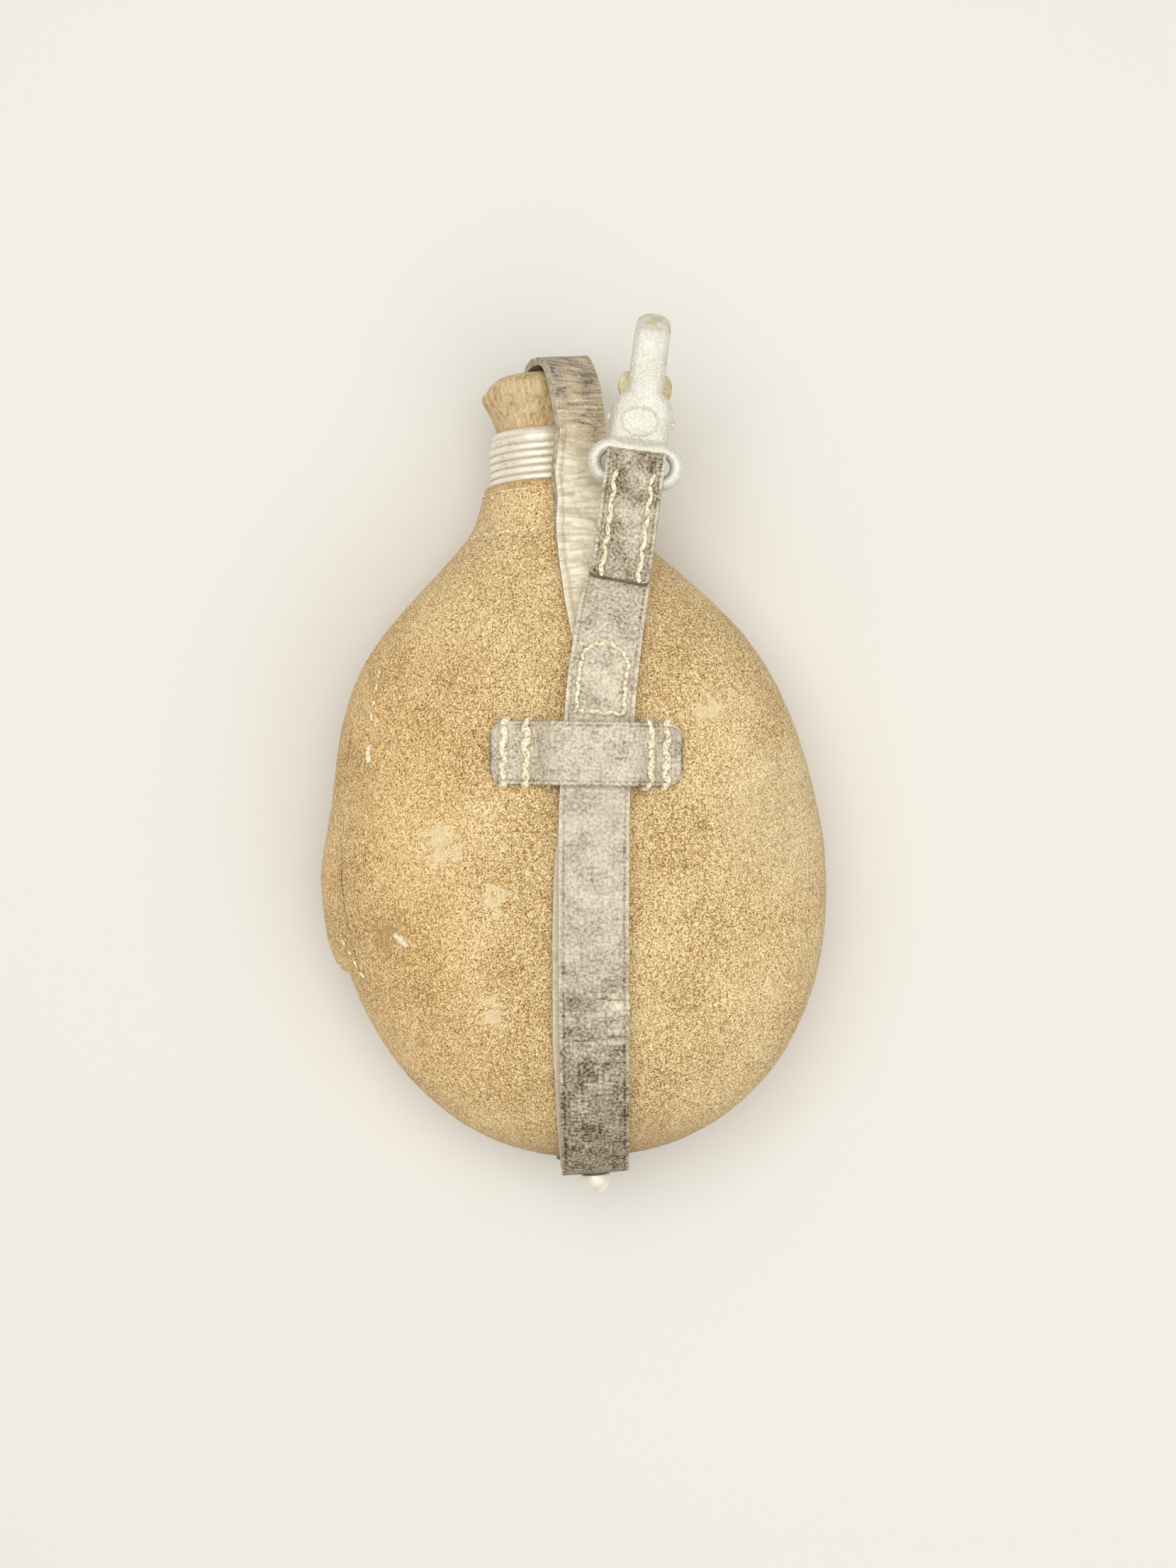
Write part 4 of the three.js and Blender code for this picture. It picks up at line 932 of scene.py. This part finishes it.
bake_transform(stopperStrap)


# Keepers
def keeperTone(station, share, side):
    # handled most in the middle; its outline is painted dark, as painted shade where its thick cut edge turns
    # down to the straps
    outline = max(ease(abs(side), 0.93, 1.0), ease(min(share, 1 - share), 0.012, 0.0))
    return 0.56 + 0.07 * math.sin(math.pi * share) ** 2 - 0.45 * outline


keeperLook = {
    "columns": 30, "cup": 0.12, "wave": 0.1, "waveMm": 12, "puckerMm": 4.0, "seed": 31.0, "ends": (4.5, 4.5),
    "pucker": lambda station, side: 0.05, "side": 0, "thin": lambda station: 1.0,
    "tone": keeperTone,
    "worn": lambda station, share: 1.5,
}
keeperStations = traceKeeper("front_keeper", 1, math.radians(-5.3), 9.1)
ribbon("frontKeeper", keeperStations, keeperLook, darkLeather, "canteen", ["front_keeper"])
rearLook = dict(keeperLook, seed=37.0)
rearStations = traceKeeper("rear_keeper", -1, 0.0, 9.1)
ribbon("rearKeeper", rearStations, rearLook, darkLeather, "canteen", ["rear_keeper"])
print("straps ready")


# Stitching: short twisted stitches of linen thread, laid on the leather by its own map
stitchShape = {
    "start": 0.06, "slant": 0.25, "stray": 0.125, "uneven": (0.85, 1.15), "arch": 0.28, "flat": 0.8,
    "overlap": 1.3,
}


def layStitch(bm, start, end, up, thick, arch):
    along = end - start
    made = bmesh.ops.create_uvsphere(bm, u_segments=10, v_segments=7, radius=0.5)
    side = along.cross(up).normalized()
    lie = side.cross(along).normalized()
    turn = Matrix((side, lie, along.normalized())).transposed().to_4x4()
    shape = Matrix.Diagonal((thick, thick * stitchShape["flat"], along.length * stitchShape["overlap"], 1))
    middle = (start + end) / 2 + lie * arch
    bmesh.ops.transform(bm, verts=made["verts"], matrix=Matrix.Translation(middle) @ turn @ shape)


def onStrap(stations, row, side, face=1):
    # face 1 is the strap's outer face, -1 its inner one, which shows where the strap is turned back
    centre, up, half = stations[row]
    return centre + acrossAt(stations, row) * side * half + up * face * leatherThickness / 2, up * face


def pointAt(points, lengths, run):
    for i in range(1, len(points)):
        if run <= lengths[i] or i == len(points) - 1:
            share = (run - lengths[i - 1]) / max(1e-9, lengths[i] - lengths[i - 1])
            return tuple(a.lerp(b, share) for a, b in zip(points[i - 1], points[i]))


def stitchLine(bm, points, spacingMm, thickMm, cover=0.97):
    # points: (place, outward direction) pairs along the line
    # cover: the share of the spacing that shows thread
    look = stitchShape
    lengths = runLengths(points)
    count = max(1, round(lengths[-1] / (spacingMm * mm)))
    pitch = lengths[-1] / count
    for i in range(count):
        start, up = pointAt(points, lengths, (i + look["start"]) * pitch)
        end, _ = pointAt(points, lengths, (i + cover) * pitch)
        slant = (look["slant"] if i % 2 else -look["slant"]) + random.uniform(-look["stray"], look["stray"])
        jitter = up.cross(end - start).normalized() * slant * thickMm * mm
        thick = thickMm * mm * random.uniform(*look["uneven"])
        layStitch(bm, start - jitter, end + jitter, up, thick, look["arch"] * thickMm * mm)


def rowsBetween(stations, low, high, test):
    return [i for i, s in enumerate(stations) if low <= flaskHeight(s[0]) <= high and test(i)]


# hook strap: two rows hold its turned-back end, and a U of stitches joins the strap below it
flapStart = int(len(hookStations) * 0.8)
foldRows = rowsBetween(
    hookStations, *strapStitches["flapY"], lambda i: i > flapStart and hookStations[i][1].z < -0.2,
)
print("turned-back end has", len(foldRows), "stations")
bm = bmesh.new()
for side in strapStitches["flapSides"]:
    line = [onStrap(hookStations, i, side, -1) for i in foldRows]
    stitchLine(bm, line, strapStitches["spacing"], strapStitches["thick"])
loopRows = rowsBetween(hookStations, *strapStitches["loopY"], lambda i: i < flapStart)
loopSide = strapStitches["loopSide"]
arms = [i for i in loopRows if flaskHeight(hookStations[i][0]) < strapStitches["archY"]]
archRows = [i for i in loopRows if i not in arms]
loopLine = [onStrap(hookStations, i, -loopSide) for i in arms]
for degrees in range(170, 0, -10):
    row = archRows[0] + round((archRows[-1] - archRows[0]) * math.sin(math.radians(degrees)))
    loopLine.append(onStrap(hookStations, row, loopSide * math.cos(math.radians(degrees))))
loopLine += [onStrap(hookStations, i, loopSide) for i in reversed(arms)]
stitchLine(bm, loopLine, strapStitches["loopSpacing"], strapStitches["loopThick"])
loopFoot = [onStrap(hookStations, arms[1], side / 10) for side in range(-6, 7)]
stitchLine(bm, loopFoot, strapStitches["loopSpacing"], strapStitches["loopThick"])
finishPiece("hookStrapStitches", bm, thread, "canteen")

# keepers: two rows across each end, whipped over the edges
keeperRows = {
    "places": (-23.1, -17.1, 16.7, 22.3), "rearPlaces": (-16.2, -11.5, 11.5, 16.2),
    "spacing": 3.2, "thick": 2.3,
}
for name, stations, places in (
    ("frontKeeperStitches", keeperStations, keeperRows["places"]),
    ("rearKeeperStitches", rearStations, keeperRows["rearPlaces"]),
):
    bm = bmesh.new()
    middle = (stations[0][0] + stations[-1][0]) / 2
    ahead = (stations[-1][0] - stations[0][0]).normalized()
    for place in places:
        row = min(range(len(stations)), key=lambda i: abs((stations[i][0] - middle).dot(ahead) - place * mm))
        line = [onStrap(stations, row, side / 10) for side in range(-9, 10)]
        centre, up, half = stations[row]
        across = acrossAt(stations, row)
        for sign in (-1, 1):
            foot = centre + across * sign * (half * 1.05) - up * leatherThickness * 0.6
            line = [(foot, up), *line] if sign < 0 else [*line, (foot, up)]
        stitchLine(bm, line, keeperRows["spacing"], keeperRows["thick"])
    finishPiece(name, bm, thread, "canteen")

# felt: one row round the hem, one along the collar's seam, two on the side flap, and worn rows on the left
feltRows = {
    "hemY": 200.6, "seamY": 188.2, "flapTop": 139.5, "flapLow": 64.5, "flapDegrees": (172, 215),
    "spacing": 2.6, "thick": 0.6, "cover": 0.66,
}
sideRows = {
    "ends": (((-52.1, 150.8), (-56.2, 133.9)), ((-70.1, 72.5), (-63.2, 59.5))), "steps": 20,
    "spacing": 4.2, "thick": 0.9, "cover": 0.5,
}


def ringOnFelt(tree, y, fromDegrees, toDegrees, steps):
    points = []
    for i in range(steps + 1):
        turn = math.radians(fromDegrees + (toDegrees - fromDegrees) * i / steps)
        out = Vector((math.cos(turn), 0, math.sin(turn)))
        hit = tree.ray_cast(flaskPoint(0, y, 0) + out * 140 * mm, -out)
        if hit[0]:
            points.append((hit[0], hit[1]))
    return points


bm = bmesh.new()
feltSewing = (feltRows["spacing"], feltRows["thick"], feltRows["cover"])
for height in (feltRows["hemY"], feltRows["seamY"]):
    stitchLine(bm, ringOnFelt(coverTree, height, 0, 360, 90), *feltSewing)
for height in (feltRows["flapLow"], feltRows["flapTop"]):
    stitchLine(bm, ringOnFelt(flapTree, height, *feltRows["flapDegrees"], 30), *feltSewing)
for (fromX, fromY), (toX, toY) in sideRows["ends"]:
    line = []
    for i in range(sideRows["steps"] + 1):
        share = i / sideRows["steps"]
        above = flaskPoint(fromX + (toX - fromX) * share, fromY + (toY - fromY) * share, 150)
        hits = [tree.ray_cast(above, Vector((0, 0, -1))) for tree in (settledTree, flapTree)]
        found = [hit[:2] for hit in hits if hit[0]]
        if found:
            line.append(max(found, key=lambda hit: hit[0].z))
    stitchLine(bm, line, sideRows["spacing"], sideRows["thick"], sideRows["cover"])
finishPiece("feltStitches", bm, thread, "canteen")
print("stitching ready")

# Metal fittings: the cast hook is rounded by a fine remesh, small parts are softened
castShape = {"voxelMm": 0.36, "passes": 2}
earShape = {"from": 4, "narrower": 0.6, "taller": 0.3, "leftDrop": 1.4}
for name, node, body, metal in (
    ("hookBody", "hook_body", "hook", hookMetal), ("hookGate", "hook_gate", "gate", gateMetal),
):
    bm = copyNode(node)
    if name == "hookGate":
        # the thumb ears are a little narrower and taller than in the solid
        middle = (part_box(node)[0].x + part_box(node)[1].x) / 2
        ears = [vert for vert in bm.verts if abs(vert.co.x - middle) > earShape["from"] * mm]
        earY = sum(vert.co.y for vert in ears) / len(ears)
        for vert in ears:
            vert.co.x -= math.copysign(earShape["narrower"] * mm, vert.co.x - middle)
            vert.co.y += earShape["taller"] * (vert.co.y - earY)
            if vert.co.x < middle:
                vert.co.y -= earShape["leftDrop"] * mm
    piece = finishPiece(name, bm, metal, body, [node])
    remesh = piece.modifiers.new("cast", "REMESH")
    remesh.mode = "VOXEL"
    remesh.voxel_size = castShape["voxelMm"] * mm
    remesh.use_smooth_shade = True
    soften = piece.modifiers.new("soften", "SMOOTH")
    soften.factor = 0.5
    soften.iterations = castShape["passes"]
    ruffle(piece, 1.4, 0.1)

# raised oval rim on the hook's face, left bare inside
rimShape = {
    "centre": (29.06, 215.27), "halfWidth": 5.2, "halfHeight": 4.0, "lean": -12, "bead": 0.42, "steps": 56,
}
bm = bmesh.new()
ring = bmesh.ops.create_circle(bm, segments=10, radius=rimShape["bead"] * mm)["verts"]
bmesh.ops.rotate(bm, verts=ring, matrix=Matrix.Rotation(math.pi / 2, 3, "X"))
bmesh.ops.translate(bm, verts=ring, vec=(rimShape["halfWidth"] * mm, 0, 0))
bmesh.ops.spin(
    bm, geom=[*ring, *bm.edges], axis=(0, 0, 1), angle=math.tau, steps=rimShape["steps"], use_merge=True,
)
bmesh.ops.remove_doubles(bm, verts=bm.verts, dist=0.01 * mm)
bmesh.ops.scale(bm, verts=bm.verts, vec=(1, rimShape["halfHeight"] / rimShape["halfWidth"], 1))
bmesh.ops.rotate(bm, verts=bm.verts, matrix=Matrix.Rotation(math.radians(rimShape["lean"]), 3, "Z"))
bmesh.ops.recalc_face_normals(bm, faces=bm.faces)
rimX, rimY = rimShape["centre"]
for vert in bm.verts:
    seat = frontPoint(hookTree, rimX + vert.co.x / mm, rimY + vert.co.y / mm)
    vert.co = seat + Vector((0, 0, vert.co.z))
finishPiece("hookRim", bm, hookMetal, "hook")

studShape = {"rise": 2, "stand": 0.1, "rimMm": 0.25}
for name, node, body, material, slot in (
    ("strapStud", "strap_stud", "canteen", studMetal, "drawn_aluminium"),
    ("gatePin", "gate_pin", "hook", studMetal, "steel"),
    *((f"pressStud{i}", f"flap_press_stud_{i}", "canteen", pinSteel, "steel") for i in (1, 2, 3, 4)),
):
    bm = copyNode(node)
    toQuads(bm)
    if name == "strapStud":
        # its neck is hidden by the straps that are drawn tight
        bmesh.ops.translate(bm, verts=bm.verts, vec=(0, studShape["rise"] * mm, 0))
    if name.startswith("pressStud"):
        # seated on the flap as it lies
        settle(bm)
        middle = sum((vert.co for vert in bm.verts), Vector()) / len(bm.verts)
        seat, outward, _, _ = flapTree.find_nearest(middle)
        bmesh.ops.translate(bm, verts=bm.verts, vec=seat + outward * studShape["stand"] * mm - middle)
    piece = finishPiece(name, bm, material, body, [node])
    rim = piece.modifiers.new("rim", "BEVEL")
    rim.width = studShape["rimMm"] * mm
    rim.segments = 2
    rim.limit_method = "ANGLE"
    roundOff(piece, 2)

# the stud's plate and the gate's spring show as their solids
for node, material in (("stud_plate", neckMetal), ("gate_spring", pinSteel)):
    cad[node].data.materials.clear()
    cad[node].data.materials.append(material)
print("metal fittings ready")

# Floor, light and camera
studio = {
    "floor": "#E9E6DF", "floorSize": 3, "floorDrop": 0.2, "world": "#FFFDF8", "worldStrength": 0.515,
    "keyPower": 9.0, "fillPower": 4.5, "lightSize": 1.1,
    "cameraHeight": 0.735, "lean": 4.5, "lens": 53.7, "aim": (0.0075, -0.0052),
}
bm = bmesh.new()
bmesh.ops.create_grid(bm, x_segments=1, y_segments=1, size=studio["floorSize"])
bmesh.ops.translate(bm, verts=bm.verts, vec=(0, 0, -studio["floorDrop"] * mm))
floorMesh = bpy.data.meshes.new("floor")
bm.to_mesh(floorMesh)
bm.free()
paper, _, shader = startMaterial("palePaper", Roughness=0.9)
shader.inputs["Base Color"].default_value = linear(studio["floor"])
floorMesh.materials.append(paper)
floor = bpy.data.objects.new("floor", floorMesh)
scene.collection.objects.link(floor)

world = bpy.data.worlds.new("studio")
world.use_nodes = True
backdrop = world.node_tree.nodes["Background"]
backdrop.inputs["Color"].default_value = linear(studio["world"])
backdrop.inputs["Strength"].default_value = studio["worldStrength"]
scene.world = world

for name, place, power in (
    ("keyLight", (-0.16, 0.22, 1.3), studio["keyPower"]),
    ("fillLight", (0.5, -0.4, 1.15), studio["fillPower"]),
):
    light = bpy.data.lights.new(name, "AREA")
    light.energy = power
    light.size = studio["lightSize"]
    lamp = bpy.data.objects.new(name, light)
    lamp.location = place
    lamp.rotation_euler = (-Vector(place)).to_track_quat("-Z", "Y").to_euler()
    scene.collection.objects.link(lamp)

camera = bpy.data.cameras.new("camera")
camera.lens = studio["lens"]
camera.sensor_width = 36
eye = bpy.data.objects.new("camera", camera)
eye.location = (*studio["aim"], studio["cameraHeight"])
eye.rotation_euler = (0, 0, -math.radians(studio["lean"]))
scene.collection.objects.link(eye)
scene.camera = eye
print("studio ready")
